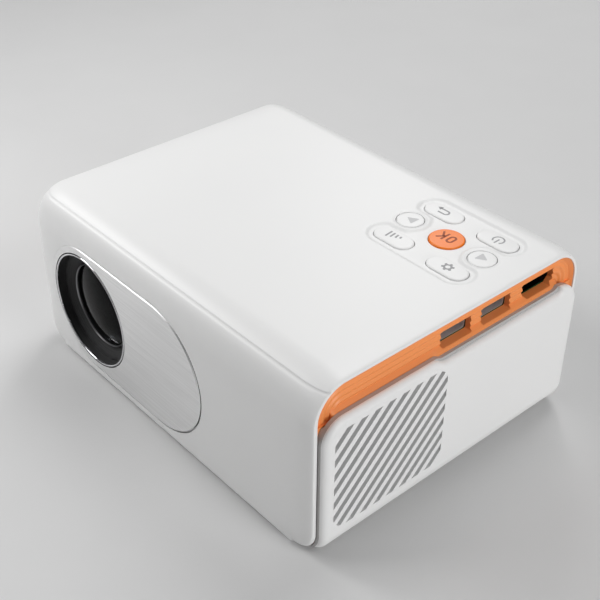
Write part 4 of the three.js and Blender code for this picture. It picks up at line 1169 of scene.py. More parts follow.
def corner_room(reach_x, low, radius):
    """Everything nearer to the middle than a place on X, with its lower corner rounded."""
    outline = rounded_box(0, reach_x, low, TOP_Z + OVERRUN, (0, radius, 0, 0), TINY_ROUND)
    return prism("room", "Y", outline, FRONT_Y - OVERRUN, REAR_Y + OVERRUN)


def room_along_corner(reach_x):
    """Room that follows the shell's rounded lower corner at an even distance."""
    radius = reach_x - (RIM_X - END_LENGTH)
    return corner_room(reach_x, BASE_Z + END_LENGTH - radius, radius)


def trim_outline(inset, low_inset):
    return rounded_box(
        trim_low.y + inset, trim_high.y - inset, trim_low.z + low_inset, trim_high.z + TRIM_RISE - inset,
        (0, 0, REAR_RADIUS - inset, FRONT_RADIUS - inset), OVER_STEPS,
    )


def dip_outline():
    """The dip in the trim's upper edge, with the same slopes as the ledge above it."""
    floor = []
    for step in range(DIP_STEPS + 1):
        y = MIDDLE_Y + LIP_START + (LIP_END - LIP_START) * step / DIP_STEPS
        floor.append((y, trim_high.z + TRIM_RISE - DIP * dip_share(y) + DIP_LIFT))
    return floor + [(floor[-1][0], TOP_Z), (floor[0][0], TOP_Z)]


def build_trim(name):
    ring = prism(name, "X", trim_outline(0, 0), trim_low.x, PANEL_BACK)
    low_corner = corner_room(panel_high.x, trim_low.z, LOW_RADIUS)
    carve(ring, low_corner, room_along_corner(PANEL_BACK), operation="INTERSECT")
    ends = (trim_low.x - OVERRUN, trim_high.x + OVERRUN)
    window = prism("window", "X", trim_outline(TRIM_BAR, TRIM_LOW_BAR), *ends)
    behind = [(0, 0), (TRIM_BACK, 0), (TRIM_BACK, TOP_Z), (0, TOP_Z)]
    behind = prism("behind", "Y", behind, FRONT_Y - 2 * OVERRUN, REAR_Y + 2 * OVERRUN)
    shell_room = carve(room_along_corner(RIM_X + CLEARANCE), behind, operation="INTERSECT")
    reach, low = FRAME_FACE + LEDGE_REACH + LEDGE_CLEAR, LEDGE_Z - LEDGE_UNDER
    ledge = [(0, low), (reach, low), (reach, TOP_Z), (0, TOP_Z)]
    ledge_room = prism("ledge room", "Y", ledge, FRONT_Y, REAR_Y)
    return carve(ring, window, shell_room, ledge_room, prism("dip", "X", dip_outline(), *ends))


dress(build_trim("right_panel_trim_fine"), "housing", grey_abs, ["right_panel_trim"])
dress(mirror(build_trim("left_panel_trim_fine")), "housing", grey_abs, ["left_panel_trim"])

# %% [markdown]
# ## Side panels
# The white panels close the ends. Their edges are quarter ellipses: 2.2 mm wide at the front and
# the top, 4.5 mm at the rear. Fourteen slots, 2 mm wide, let the air out at 45 degrees, and one
# rounded field clips them. The notch for the plugs widens towards the face by the same quarter
# ellipse, so its edge is as soft as the rest. The panel is made flat, and its lower part is then
# bent round a radius of 8 mm, so it turns under the body.

# %% The panel's outline and its notch
PANEL_EDGE = 1.8
FRONT_EDGE = 2.2
REAR_EDGE = 4.5
PANEL_STEPS = 12
SUPPORT = 1.15
SHEET_BACK = 1.5
CUT_BACK = 3
BEND_END = 80
BEND_STEPS = 20
SIDE_HEIGHT = 51.2
BEND_Z = panel_high.z - SIDE_HEIGHT + LOW_RADIUS
FLAT_LOW = BEND_Z - LOW_RADIUS * math.radians(BEND_END)
NOTCH_DEPTH = 2.2
NOTCH_REAR = MIDDLE_Y + 47
NOTCH_RADIUS = 2
NOTCH_STEPS = 10
NOTCH_OVER = 0.01
SLOPE_START = MIDDLE_Y - 13
SLOPE_WIDTH = 6.6
SLOPE_LEAD = 0.5


def panel_outline(share):
    front, rear = FRONT_EDGE * share, REAR_EDGE * share
    return rounded_box(
        panel_low.y + front, panel_high.y - rear, FLAT_LOW, panel_high.z - front,
        (0, 0, REAR_RADIUS - rear, FRONT_RADIUS - front), OVER_STEPS,
    )


def edge_levels(outline, back):
    """Levels of a loft: the sheet's back, then the edge's quarter ellipse from foot to face."""
    levels = [(outline(0), back)]
    for step in range(PANEL_STEPS + 1):
        angle = math.pi / 2 * step / PANEL_STEPS
        level = panel_high.x - PANEL_EDGE * (1 - math.sin(angle))
        levels.append((outline(1 - math.cos(angle)), level))
    return levels


def notch_outline(share):
    """The notch from the side: two arcs make its slope, and it grows with the share."""
    grow = FRONT_EDGE * share
    top, floor = panel_high.z + NOTCH_OVER, panel_high.z - NOTCH_DEPTH
    turn = 2 * math.degrees(math.atan((top - floor) / SLOPE_WIDTH))
    radius = SLOPE_WIDTH / 2 / math.sin(math.radians(turn))
    corner = (NOTCH_REAR - NOTCH_RADIUS, floor + NOTCH_RADIUS)
    return [
        (NOTCH_REAR + grow, TOP_Z), (SLOPE_START - SLOPE_LEAD, TOP_Z),
        *arc(SLOPE_START, top - radius, radius - grow, 90, 90 - turn, NOTCH_STEPS),
        *arc(SLOPE_START + SLOPE_WIDTH, floor + radius, radius + grow, 270 - turn, 270, NOTCH_STEPS),
        *arc(*corner, NOTCH_RADIUS + grow, 270, 360, NOTCH_STEPS),
    ]


def build_notch():
    levels = edge_levels(notch_outline, PANEL_BACK - CUT_BACK)
    return loft("notch", "X", levels + [(notch_outline(1), panel_high.x + OVERRUN)])


print("the notch is", NOTCH_DEPTH, "mm deep")


# %% The air slots
SLOT_COUNT = 14
SLOT_WIDTH = 2
SLOT_PITCH = 3.93
FIELD = (MIDDLE_Y - 52.6, MIDDLE_Y - 6.8, panel_high.z - 41.7, panel_high.z - 3.6)
FIELD_RADIUS = 5
FIELD_STEPS = 10


def clipped(outline, place, normal):
    """The part of a convex outline on the near side of a line."""
    def beyond(point):
        return (point[0] - place[0]) * normal[0] + (point[1] - place[1]) * normal[1]

    kept = []
    for a, b in zip(outline, outline[1:] + outline[:1]):
        side_a, side_b = beyond(a), beyond(b)
        if side_a <= 0:
            kept.append(a)
        if side_a * side_b < 0:
            share = side_a / (side_a - side_b)
            kept.append((a[0] + (b[0] - a[0]) * share, a[1] + (b[1] - a[1]) * share))
    return kept


def air_slots():
    """Each slot is a strip clipped in the plane first, so that a single boolean cuts them all."""
    left, right, low, high = FIELD
    field = rounded_box(left, right, low, high, (FIELD_RADIUS,) * 4, FIELD_STEPS)
    middle = ((left + right) / 2, (low + high) / 2)
    normal = (-math.sqrt(0.5), math.sqrt(0.5))
    slots = []
    for number in range(SLOT_COUNT):
        strip = field
        for side in (-1, 1):
            shift = (number - (SLOT_COUNT - 1) / 2) * SLOT_PITCH + side * SLOT_WIDTH / 2
            place = (middle[0] + normal[0] * shift, middle[1] + normal[1] * shift)
            strip = clipped(strip, place, (normal[0] * side, normal[1] * side))
        slots.append(prism("slot", "X", strip, PANEL_BACK - CUT_BACK, panel_high.x + OVERRUN))
    print(len(slots), "slots in a field", round(right - left, 1), "by", round(high - low, 1), "mm")
    return gather("slots", slots)


# %% Build the panels
def bend_under(piece):
    """Bends the lower part of the flat sheet round the edge's radius, in many narrow strips."""
    work = bmesh.new()
    work.from_mesh(piece.data)
    for step in range(BEND_STEPS):
        level = BEND_Z - (BEND_Z - FLAT_LOW) * step / BEND_STEPS
        geometry = work.verts[:] + work.edges[:] + work.faces[:]
        bmesh.ops.bisect_plane(work, geom=geometry, plane_co=(0, 0, level * MM), plane_no=(0, 0, 1))
    centre_x = (panel_high.x - LOW_RADIUS) * MM
    for point in work.verts:
        angle = (BEND_Z * MM - point.co.z) / (LOW_RADIUS * MM)
        if angle > 0:
            radius = point.co.x - centre_x
            point.co.x = centre_x + radius * math.cos(angle)
            point.co.z = BEND_Z * MM - radius * math.sin(angle)
    work.to_mesh(piece.data)
    work.free()


def build_panel(name):
    """A flat sheet with its openings, bent under and cut free of the shell."""
    levels = edge_levels(panel_outline, PANEL_BACK - SHEET_BACK)
    levels.append((panel_outline(SUPPORT), panel_high.x))
    panel = carve(loft(name, "X", levels), build_notch(), air_slots())
    bend_under(panel)
    return carve(panel, room_along_corner(PANEL_BACK))


dress(build_panel("right_panel_fine"), "housing", white_abs, ["right_panel"])
dress(mirror(build_panel("left_panel_fine")), "housing", white_abs, ["left_panel"])

# %% [markdown]
# ## Bezel plate and chrome ring
# The plate is pill-shaped, brushed on its face and cut bright along its edge. The edge faces are
# found by how far they lean, and get the cut metal. The sides below are black, which is painted
# shade for the dark gap line round the plate. The ring round the lens is a pressed and chromed
# part, turned here from a rounded profile, and painted black further in.

# %% Build the plate and the ring
PLATE_EDGE = 0.35
FACE_LEAN = 0.95
EDGE_LEAN = 0.3
LENS_STEPS = 128
RING_WALL = 0.8
RING_TURN = 15
CHROME_DEPTH = 0.7
AXIS = (LENS_X, LENS_Z)
ring_front = trim_ring_low.y


def build_plate():
    """The pill-shaped plate, with a narrow chamfer in front and the hole for the ring."""
    levels = [(0, plate_high.y), (0, plate_low.y + PLATE_EDGE), (-PLATE_EDGE, plate_low.y)]
    outlines = []
    for grow, level in levels:
        size = (PLATE_LENGTH + 2 * grow, PLATE_WIDTH + 2 * grow)
        outlines.append((pill(PLATE_X, LENS_Z, *size, ROUND), level))
    plate = loft("bezel_plate_fine", "Y", outlines)
    hole = circle(*AXIS, RECESS_RADIUS + CLEARANCE, LENS_STEPS)
    return carve(plate, prism("lens hole", "Y", hole, plate_low.y - OVERRUN, plate_high.y + OVERRUN))


def build_lens_ring():
    """The chrome ring: a rounded front, the bore and the outside."""
    profile = []
    for turn in range(90, -91, -RING_TURN):
        angle = math.radians(turn)
        radius = RECESS_RADIUS - RING_WALL / 2 + RING_WALL / 2 * math.sin(angle)
        profile.append((radius, ring_front + RING_WALL / 2 * (1 - math.cos(angle))))
    for level in (ring_front + CHROME_DEPTH, trim_ring_high.y):
        profile.append((RECESS_RADIUS - RING_WALL, level))
    profile.append((RECESS_RADIUS, trim_ring_high.y))
    return turned("lens_trim_ring_fine", "Y", AXIS, profile, LENS_STEPS, closed=True)


bezel = dress(build_plate(), "housing", brushed_aluminium, ["bezel_plate"])
bezel.data.materials.append(cut_aluminium)
# Black ABS on the plate's sides is painted shade: it draws the dark gap line round the plate.
bezel.data.materials.append(black_abs)
for face in bezel.data.polygons:
    lean = abs(face.normal.y)
    face.material_index = 0 if lean > FACE_LEAN else 1 if lean > EDGE_LEAN else 2

lens_ring = dress(build_lens_ring(), "housing", chrome, ["lens_trim_ring"])
lens_ring.data.materials.append(black_matt)
for face in lens_ring.data.polygons:
    face.material_index = 1 if face.center.y > (ring_front + CHROME_DEPTH) * MM else 0

# %% [markdown]
# ## Lens
# Behind the ring lie a black shroud, the focus ring with its cone, and the cell that holds the
# front lens. The cone and the shroud have fine anti-glare steps. The front lens is a crowned glass
# body turned about the axis, so the light bends through it as in the real lens. It stands a little
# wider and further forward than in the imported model, and a metal ring on the cell holds it.

# %% Build the shroud
SHROUD_WALL = 1.1
SHROUD_FLANGE = 1.5
GLARE_STEPS = 6
GLARE_MARGIN = 0.5
GLARE_DEPTH = 0.12
GLARE_WIDTH = 0.15
shroud_low, shroud_high = low_high("lens_shroud")
ring_low, ring_high = low_high("focus_ring")
lens_low, lens_high = low_high("front_lens")
rear_low, rear_high = low_high("rear_lens")
SHROUD_BORE = RECESS_RADIUS - RING_WALL
CELL_RADIUS = (cell_high.x - cell_low.x) / 2
RING_RADIUS = (ring_high.x - ring_low.x) / 2


def build_shroud():
    front, rear = shroud_low.y, shroud_high.y
    flange = FRONT_Y + SIDE_WALL + CLEARANCE
    wide = (shroud_high.x - shroud_low.x) / 2
    outer = SHROUD_BORE + SHROUD_WALL
    profile = [
        (SHROUD_BORE, front), (outer, front), (outer, flange), (wide, flange),
        (wide, flange + SHROUD_FLANGE), (outer, flange + SHROUD_FLANGE), (outer, rear), (SHROUD_BORE, rear),
    ]
    for step in range(GLARE_STEPS):
        level = rear - GLARE_MARGIN - step * (rear - front - 2 * GLARE_MARGIN) / GLARE_STEPS
        profile.append((SHROUD_BORE, level))
        profile.append((SHROUD_BORE + GLARE_DEPTH, level - GLARE_WIDTH))
        profile.append((SHROUD_BORE, level - 2 * GLARE_WIDTH))
    return turned("lens_shroud_fine", "Y", AXIS, profile, LENS_STEPS, closed=True)


dress(build_shroud(), "housing", black_matt, ["lens_shroud"])

# %% Build the focus ring
CELL_GAP = 0.1
CONE_DEPTH = 2.2
CONE_RIM = 0.8
CONE_STEPS = 5
CONE_STEP = (0.05, 0.1)
NECK_INSET = 2.5
NECK_START = 9.6
RIB_START = 1.2
RIB_END = 9
RIB_HEIGHT = 0.5
RIB_COUNT = 24
RIB_STEPS = 192


def focus_profile():
    """The ring's section: the stepped cone, the bore for the cell, the neck and the ribs' foot."""
    front, rear = ring_low.y, ring_high.y
    bore = CELL_RADIUS + CELL_GAP
    wide = RING_RADIUS - CONE_RIM
    neck = RING_RADIUS - NECK_INSET
    root = RING_RADIUS - RIB_HEIGHT
    profile = []
    for step in range(CONE_STEPS):
        radius = wide + (bore - wide) * step / CONE_STEPS
        level = front + CONE_DEPTH * step / CONE_STEPS
        profile += [(radius, level), (radius - CONE_STEP[0], level + CONE_STEP[1])]
    return profile + [
        (bore, front + CONE_DEPTH), (bore, rear - 2), (bore, rear), (neck, rear), (neck, front + NECK_START),
        (root, front + RIB_END), (root, front + RIB_START), (root, front),
    ]


def build_focus_ring():
    """The section spun round the axis. What lies far out gets soft ribs for the finger."""
    rings = []
    for radius, level in focus_profile():
        height = RIB_HEIGHT if radius > RING_RADIUS - 2 * RIB_HEIGHT else 0
        ring = []
        for side in range(RIB_STEPS):
            angle = 2 * math.pi * side / RIB_STEPS
            reach = radius + height * (1 + math.cos(RIB_COUNT * angle)) / 2
            ring.append((LENS_X + reach * math.cos(angle), level, LENS_Z + reach * math.sin(angle)))
        rings.append(ring)
    return join_rings("focus_ring_fine", rings, closed=True)


dress(build_focus_ring(), "focus_ring", black_matt, ["focus_ring"])


# %% Build the cell and the lenses
CELL_CHAMFER = 0.3
CELL_STEP = 0.75
REAR_SEAT = 0.3
RETAINER_INSET = 0.35
RETAINER_REACH = 1
RETAINER_EDGE = 0.1
RETAINER_WALL = 0.4
RETAINER_SLOPE = 0.3
DOME_CROWN = 2.6
DOME_SEAT = 0.3
FLAT_CROWN = 0.4
REAR_CROWN = 1.8
CROWN_STEPS = 16
GLASS_GROWTH = 0.55


def build_cell():
    """The tube that holds the lenses, bored wider in front for the glass."""
    front, rear = cell_low.y, cell_high.y
    inner = (rear_high.x - rear_low.x) / 2 + REAR_SEAT
    profile = [
        (CELL_RADIUS, rear), (CELL_RADIUS, front + CELL_CHAMFER), (CELL_RADIUS - CELL_CHAMFER, front),
        (CELL_RADIUS - CELL_STEP, front), (CELL_RADIUS - CELL_STEP, lens_high.y + CELL_CHAMFER),
        (inner, lens_high.y + 2 * CELL_CHAMFER), (inner, rear),
    ]
    return turned("lens_cell_fine", "Y", AXIS, profile, LENS_STEPS, closed=True)


def build_retainer():
    """A thin ring round the glass, on the front of the cell. Its chamfer faces the axis."""
    front = cell_low.y - RETAINER_REACH
    outer = CELL_RADIUS - RETAINER_INSET
    inner = outer - RETAINER_WALL
    profile = [
        (outer, cell_low.y), (outer, front + RETAINER_EDGE), (outer - RETAINER_EDGE, front),
        (inner, front + RETAINER_SLOPE), (inner, cell_low.y),
    ]
    return turned("lens_retainer_fine", "Y", AXIS, profile, LENS_STEPS, closed=True)


def build_lens(name, low, high, front_crown, rear_crown):
    """A lens with two spherical faces, each drawn by the angle from its own crown."""
    radius = (high.x - low.x) / 2
    profile = []
    for crown, base, side in ((front_crown, low.y + front_crown, -1), (rear_crown, high.y - rear_crown, 1)):
        ball = (radius ** 2 + crown ** 2) / (2 * crown)
        widest = math.asin(radius / ball)
        rows = []
        for step in range(CROWN_STEPS + 1):
            angle = widest * step / CROWN_STEPS
            rows.append((ball * math.sin(angle), base + side * (ball * math.cos(angle) - ball + crown)))
        profile += rows if side < 0 else rows[::-1]
    return turned(name, "Y", AXIS, profile, LENS_STEPS)


dress(build_cell(), "lens_barrel", black_matt, ["lens_cell"])
dress(build_retainer(), "lens_barrel", satin_aluminium)
dome_low = lens_low - Vector((GLASS_GROWTH, RETAINER_REACH + DOME_CROWN - DOME_SEAT, GLASS_GROWTH))
dome_high = lens_high + Vector((GLASS_GROWTH, 0, GLASS_GROWTH))
front_lens = build_lens("front_lens_fine", dome_low, dome_high, DOME_CROWN, FLAT_CROWN)
dress(front_lens, "lens_barrel", coated_glass, ["front_lens"])
rear_lens = build_lens("rear_lens_fine", rear_low, rear_high, FLAT_CROWN, REAR_CROWN)
dress(rear_lens, "lens_barrel", coated_glass, ["rear_lens"])

# %% [markdown]
# ## Sockets
# Each socket is a folded steel shell, open to the side and plated: bright nickel on the two data
# sockets and black nickel on the video socket. Their tongues are grey and black in the same way.
# The mouth of the shell is flared a little, so a plug finds its way in. The tongue carries
# gold-plated contacts. On the left are the round power inlet with its pin, and the small jack.

# %% Build the three sockets on the right
SHELL_WALL = 0.55
SHELL_CORNER = 0.9
SHELL_INNER_CORNER = 0.3
SHELL_FLOOR = 1.6
FLARE = 0.25
FLARE_DEPTH = 0.8
TONGUE_ROOT = 1.7
TONGUE_EDGE = 0.2
TONGUE_TIP = 0.3
TONGUE_STEPS = 4
CONTACT_HEIGHT = (-0.12, 0.03)
CONTACT_ROOT = 2
# Width and height of a tongue, and the share of the opening's height at which it sits.
DATA_TONGUE = (11, 2.4, 0.68)
VIDEO_TONGUE = (10.5, 1, 0.52)


def shell_outline(node, shrink):
    low, high = low_high(node)
    y = centre(low, high).y
    width, height = high.y - low.y - 2 * shrink, high.z - low.z - 2 * shrink
    if node == "video_socket":
        return video_outline(y, width, height)
    return data_outline(y, width, height, max(SHELL_CORNER - shrink, SHELL_INNER_CORNER))


def build_socket(node):
    """The shell's outside, its mouth, the flare and the inside down to the floor."""
    low, high = low_high(node)
    shape = ((0, low.x), (0, high.x), (SHELL_WALL - FLARE, high.x))
    shape += ((SHELL_WALL, high.x - FLARE_DEPTH), (SHELL_WALL, low.x + SHELL_FLOOR))
    return loft(f"{node}_shell", "X", [(shell_outline(node, shrink), level) for shrink, level in shape])


def tongue_level(node, tongue, side=0):
    """The level of a tongue's middle, or of its lower face with side -1 and its upper with 1."""
    low, high = low_high(node)
    _, height, share = tongue
    return low.z + (high.z - low.z) * share + side * height / 2


def build_tongue(node, tongue, reach):
    """The tongue keeps back from the mouth by its reach."""
    low, high = low_high(node)
    middle = (centre(low, high).y, tongue_level(node, tongue))
    width, height, _ = tongue
    root = box_about(*middle, width, height, TONGUE_EDGE, TONGUE_STEPS)
    size = (width - 2 * TONGUE_EDGE, height - 2 * TONGUE_EDGE)
    tip = box_about(*middle, *size, TONGUE_EDGE / 2, TONGUE_STEPS)
    front = high.x - reach
    levels = [(root, low.x + TONGUE_ROOT), (root, front - TONGUE_TIP), (tip, front)]
    return loft(f"{node}_tongue", "X", levels)


def build_contacts(node, z, count, pitch, width, reach):
    """A row of flat bars, sunk into the tongue's face at z."""
    low, high = low_high(node)
    y = centre(low, high).y
    low_z, high_z = z + CONTACT_HEIGHT[0], z + CONTACT_HEIGHT[1]
    bars = []
    for number in range(count):
        place = y + (number - (count - 1) / 2) * pitch
        outline = rounded_box(place - width / 2, place + width / 2, low_z, high_z, (SHARP,) * 4, 3)
        bars.append(prism("contact", "X", outline, low.x + CONTACT_ROOT, high.x - reach))
    return gather(f"{node}_contacts", bars)


for node in ("data_socket_1", "data_socket_2"):
    dress(build_socket(node), "housing", nickel_plate, [node])
    dress(build_tongue(node, DATA_TONGUE, reach=2.2), "housing", grey_abs)
    under = tongue_level(node, DATA_TONGUE, side=-1)
    contacts = build_contacts(node, under, count=4, pitch=2.2, width=1, reach=3)
    dress(contacts, "housing", gold_contact)

dress(build_socket("video_socket"), "housing", black_nickel, ["video_socket"])
dress(build_tongue("video_socket", VIDEO_TONGUE, reach=1.6), "housing", black_abs)
top = tongue_level("video_socket", VIDEO_TONGUE, side=1)
contacts = build_contacts("video_socket", top, count=10, pitch=1, width=0.45, reach=2.2)
dress(contacts, "housing", gold_contact)


# %% Build the power inlet and the jack on the left
BLOCK_CORNERS = (0.6, 0.6, 1.2, 1.2)
BLOCK_INSET = 0.4
BUSH_DEPTH = 1
BUSH_GAP = 0.2
BUSH_WALL = 0.3
BORE_CHAMFER = 0.4
BORE_MOUTH = (-0.1, 0.3)
BORE_FLOOR = 1.6
PIN_RADIUS = 0.9
PIN_TIP = ((0, 1.2), (0.5, 1.3), (PIN_RADIUS, 1.8))


def build_round_socket(node, hole_radius):
    """A block with a bush that fills the hole in the wall, and a bore with a chamfered mouth."""
    low, high = low_high(node)
    y = centre(low, high).y
    bush_radius = hole_radius - BUSH_GAP
    bore = bush_radius - BUSH_WALL
    block = rounded_box(low.y, high.y, low.z, high.z, BLOCK_CORNERS, CORNER_STEPS)
    body = prism(f"{node}_fine", "X", block, low.x + BLOCK_INSET, high.x)
    bush = prism("bush", "X", circle(y, SOCKET_Z, bush_radius), low.x, low.x + BUSH_DEPTH)
    carve(body, bush, operation="UNION")
    profile = [
        (bore + BORE_CHAMFER, low.x + BORE_MOUTH[0]), (bore, low.x + BORE_MOUTH[1]),
        (bore, high.x - BORE_FLOOR),
    ]
    return carve(body, turned("bore", "X", (y, SOCKET_Z), profile, ROUND))


def build_pin(node):
    """The round pin of the inlet, with a tapered tip."""
    low, high = low_high(node)
    profile = [(radius, low.x + depth) for radius, depth in PIN_TIP]
    profile += [(PIN_RADIUS, high.x - BORE_FLOOR), (0, high.x - BORE_FLOOR)]
    return turned(f"{node}_pin", "X", (socket_y(node), SOCKET_Z), profile, TINY_ROUND)


for node, hole_radius in (("power_inlet", INLET_HOLE), ("av_jack", JACK_HOLE)):
    dress(build_round_socket(node, hole_radius), "housing", black_abs, [node])
dress(build_pin("power_inlet"), "housing", nickel_plate)

# %% [markdown]
# ## Underside
# Four rubber feet, four screws with a cross recess and a brass insert for a tripod screw. The
# insert has its quarter-inch thread, with a pitch of 1.27 mm. Threads are drawn as rings, because
# their turns are less than half a millimetre deep.

# %% Build the feet, the screws and the insert
FOOT_HOLLOW = 0.15
HOLLOW_SHARE = 0.72
SEAT_SHARE = 0.78
FOOT_EDGE = 0.5
FOOT_TURNS = (0.5, 1.0, math.pi / 2)
HEAD_HEIGHT = 1.6
HEAD_ROUND = ((0.7, 0), (0.2, 0.25), (0, 0.8))
SCREW_RADIUS = 1.4
SCREW_CORE = 1.05
SCREW_PITCH = 0.8
THREAD_START = 2.2
THREAD_END = 1.4
SCREW_TIP = (0.9, 0.6)
CROSS_ARMS = ((1.7, 0.3), (0.3, 1.7))
CROSS_START = 0.2
CROSS_DEPTH = 1.1
CORNER_SIGNS = ((-1, -1), (1, -1), (1, 1), (-1, 1))
INSERT_BORE = 3.2
INSERT_CHAMFER = 0.4
INSERT_MOUTH = 0.5
INSERT_PITCH = 1.27
INSERT_THREAD = 0.45
INSERT_THREAD_ENDS = (1.6, 0.3)


def build_foot(number):
    """A rubber foot with a shallow hollow below and a rounded edge."""
    low, high = feet[number - 1]
    middle = centre(low, high)
    radius = (high.x - low.x) / 2
    flat = radius - FOOT_EDGE
    profile = [
        (0, low.z + FOOT_HOLLOW), (radius * HOLLOW_SHARE, low.z + FOOT_HOLLOW),
        (radius * SEAT_SHARE, low.z), (flat, low.z),
    ]
    for turn in FOOT_TURNS:
        profile.append((flat + FOOT_EDGE * math.sin(turn), low.z + FOOT_EDGE * (1 - math.cos(turn))))
    profile += [(radius, high.z), (0, high.z)]
    return turned(f"foot_{number}_fine", "Z", (middle.x, middle.y), profile, ROUND)


def cross_arm(middle, wide, deep, low, high):
    """One arm of the cross recess, half as large at its floor."""
    levels = []
    for share, level in ((1, low), (0.5, high)):
        outline = []
        for a, b in CORNER_SIGNS:
            outline.append((middle.x + a * wide * share, middle.y + b * deep * share))
        levels.append((outline, level))
    return loft("cross arm", "Z", levels)


def build_screw(number):
    """A screw with a round head, a rolled thread and a pointed end."""
    low, high = screws[number - 1]
    middle = centre(low, high)
    head = (high.x - low.x) / 2
    profile = [(0, low.z)]
    profile += [(head - inset, low.z + rise) for inset, rise in HEAD_ROUND]
    profile += [(head, low.z + HEAD_HEIGHT), (SCREW_RADIUS, low.z + HEAD_HEIGHT)]
    level = low.z + THREAD_START
    while level < high.z - THREAD_END:
        profile += [(SCREW_CORE, level), (SCREW_RADIUS, level + SCREW_PITCH / 2)]
        profile.append((SCREW_CORE, level + SCREW_PITCH))
        level += SCREW_PITCH
    profile += [(SCREW_TIP[0], high.z - SCREW_TIP[1]), (0, high.z)]
    screw = turned(f"base_screw_{number}_fine", "Z", (middle.x, middle.y), profile, TINY_ROUND)
    arms = [cross_arm(middle, *arm, low.z - CROSS_START, low.z + CROSS_DEPTH) for arm in CROSS_ARMS]
    return carve(screw, *arms)


def build_insert():
    """A chamfered sleeve. Its thread runs from the top down to the widened mouth."""
    low, high = insert_low.z, insert_high.z
    outer = (insert_high.x - insert_low.x) / 2
    middle = centre(insert_low, insert_high)
    profile = [(outer - INSERT_CHAMFER, low), (outer, low + INSERT_CHAMFER), (outer, high)]
    profile.append((INSERT_BORE, high))
    level = high - INSERT_THREAD_ENDS[1]
    while level > low + INSERT_THREAD_ENDS[0]:
        profile += [(INSERT_BORE, level), (INSERT_BORE - INSERT_THREAD, level - INSERT_PITCH / 2)]
        level -= INSERT_PITCH
    profile += [(INSERT_BORE, level), (INSERT_BORE, low + INSERT_MOUTH), (INSERT_BORE + INSERT_MOUTH, low)]
    return turned("tripod_insert_fine", "Z", (middle.x, middle.y), profile, closed=True)


for number in range(1, 5):
    dress(build_foot(number), "housing", rubber, [f"foot_{number}"])
    dress(build_screw(number), "housing", screw_steel, [f"base_screw_{number}"])
dress(build_insert(), "housing", brass, ["tripod_insert"])

# %% [markdown]
# ## Inside
# The inner pieces keep their shape, because it is right already. Each gets the finish of what it
# is: moulded black parts in the light path, acrylic lenses, boards, a cast heat sink, a fan and a
# speaker. They show through the openings and when the model is taken apart.

# %% Finish the inner pieces
INNER = {
    "black_abs": (
        black_abs, ("lens_mount", "light_box", "light_funnel", "fan_frame", "fan_rotor", "speaker"),
    ),
    "clear_acrylic": (clear_acrylic, ("front_field_lens", "rear_field_lens", "condenser_lens")),
    "picture_glass": (picture_glass, ("picture_panel",)),
    "cast_aluminium": (cast_aluminium, ("heat_sink",)),
    "circuit_board": (circuit_board, ("led_board", "main_board", "inlet_board", "key_board")),
    "switch_metal": (switch_metal, tuple(f"{name}_switch" for name in KEYS)),
    "filter_cloth": (filter_cloth, ("right_dust_mesh", "left_dust_mesh")),
}
for finish, nodes in INNER.values():
    for node in nodes:
        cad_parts[node].data.materials.clear()
        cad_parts[node].data.materials.append(finish)
print("inner pieces finished:", sum(len(nodes) for _, nodes in INNER.values()))

# %% [markdown]
# ## Floor, light and camera
# A plain pale floor, six soft lamps and a little light from the whole room. One large lamp is
# overhead and behind, so the top is brightest. Two at the right light the end with the sockets.
# Two at the front left make the front fade from its upper edge down to its right corner, and a
# small one behind draws the shadow to the front right. The camera stands to the right of the
# lens, 35 degrees up.

# %% Floor and lamps
FLOOR_REACH = 3000
ROOM_LIGHT = 0.15
LAMPS = (
    ("overhead softbox", (-150, 500, 900), (0, 0, 30), 500, 2.8),
    ("high right softbox", (950, 100, 920), (60, 0, 50), 500, 2.8),
    ("low right softbox", (1100, 60, 220), (0, 0, 40), 300, 3.9),
    ("front softbox", (-500, -600, 700), (0, 0, 30), 400, 1.8),
    ("near lamp", (-300, -180, 300), (-40, -59, 60), 150, 0.62),
    ("rear lamp", (-400, 500, 500), (0, 0, 30), 200, 0.7),
)


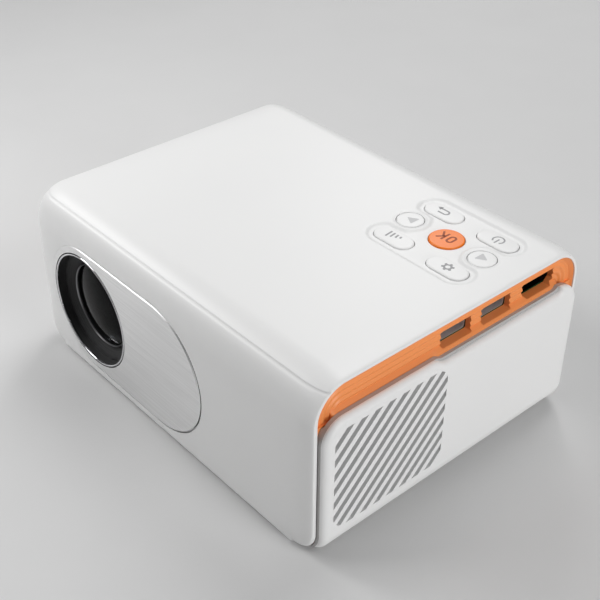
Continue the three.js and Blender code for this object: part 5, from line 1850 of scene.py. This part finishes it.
def build_floor():
    reach = FLOOR_REACH
    corners = [(-reach, -reach, 0), (reach, -reach, 0), (reach, reach, 0), (-reach, reach, 0)]
    floor = make_object("floor", corners, [(0, 1, 2, 3)])
    floor.data.materials.append(moulded_abs("pale matt floor", "DBDBDB", "D7D7D7", roughness=0.9))


def add_lamp(name, place, aim, size, power):
    """A round soft lamp: place, aim and size in millimetres, power in watts."""
    data = bpy.data.lights.new(name, "AREA")
    data.shape = "DISK"
    data.size = size * MM
    data.energy = power
    lamp = bpy.data.objects.new(name, data)
    lamp.location = Vector(place) * MM
    lamp.rotation_euler = (Vector(aim) - Vector(place)).to_track_quat("-Z", "Y").to_euler()
    bpy.context.scene.collection.objects.link(lamp)


build_floor()
room = bpy.data.worlds.new("soft room")
room.use_nodes = True
room.node_tree.nodes["Background"].inputs["Color"].default_value = linear("FFFFFF")
room.node_tree.nodes["Background"].inputs["Strength"].default_value = ROOM_LIGHT
bpy.context.scene.world = room
for name, place, aim, size, power in LAMPS:
    add_lamp(name, place, aim, size, power)
print("lamps:", [lamp.name for lamp in bpy.data.lights])

# %% Camera
CAMERA_PLACE = (238.56, -208.68, 254.49)
CAMERA_AIM = (0.05, -0.37, 33.11)
CAMERA_ROLL = 0.174
FOCAL_LENGTH = 65.97
SENSOR_WIDTH = 36
PICTURE_SHIFT = (0.00575, -0.0132)


def add_camera():
    data = bpy.data.cameras.new("camera")
    data.lens = FOCAL_LENGTH
    data.sensor_width = SENSOR_WIDTH
    data.shift_x, data.shift_y = PICTURE_SHIFT
    data.clip_start = 10 * MM
    camera = bpy.data.objects.new("camera", data)
    place = Vector(CAMERA_PLACE) + Vector((0, MIDDLE_Y, 0))
    aim = Vector(CAMERA_AIM) + Vector((0, MIDDLE_Y, 0))
    turn = (aim - place).to_track_quat("-Z", "Y").to_matrix().to_4x4()
    roll_turn = Matrix.Rotation(math.radians(CAMERA_ROLL), 4, "Z")
    camera.matrix_world = Matrix.Translation(place * MM) @ turn @ roll_turn
    bpy.context.scene.collection.objects.link(camera)
    bpy.context.scene.camera = camera


add_camera()
bpy.context.scene.view_settings.view_transform = "Standard"
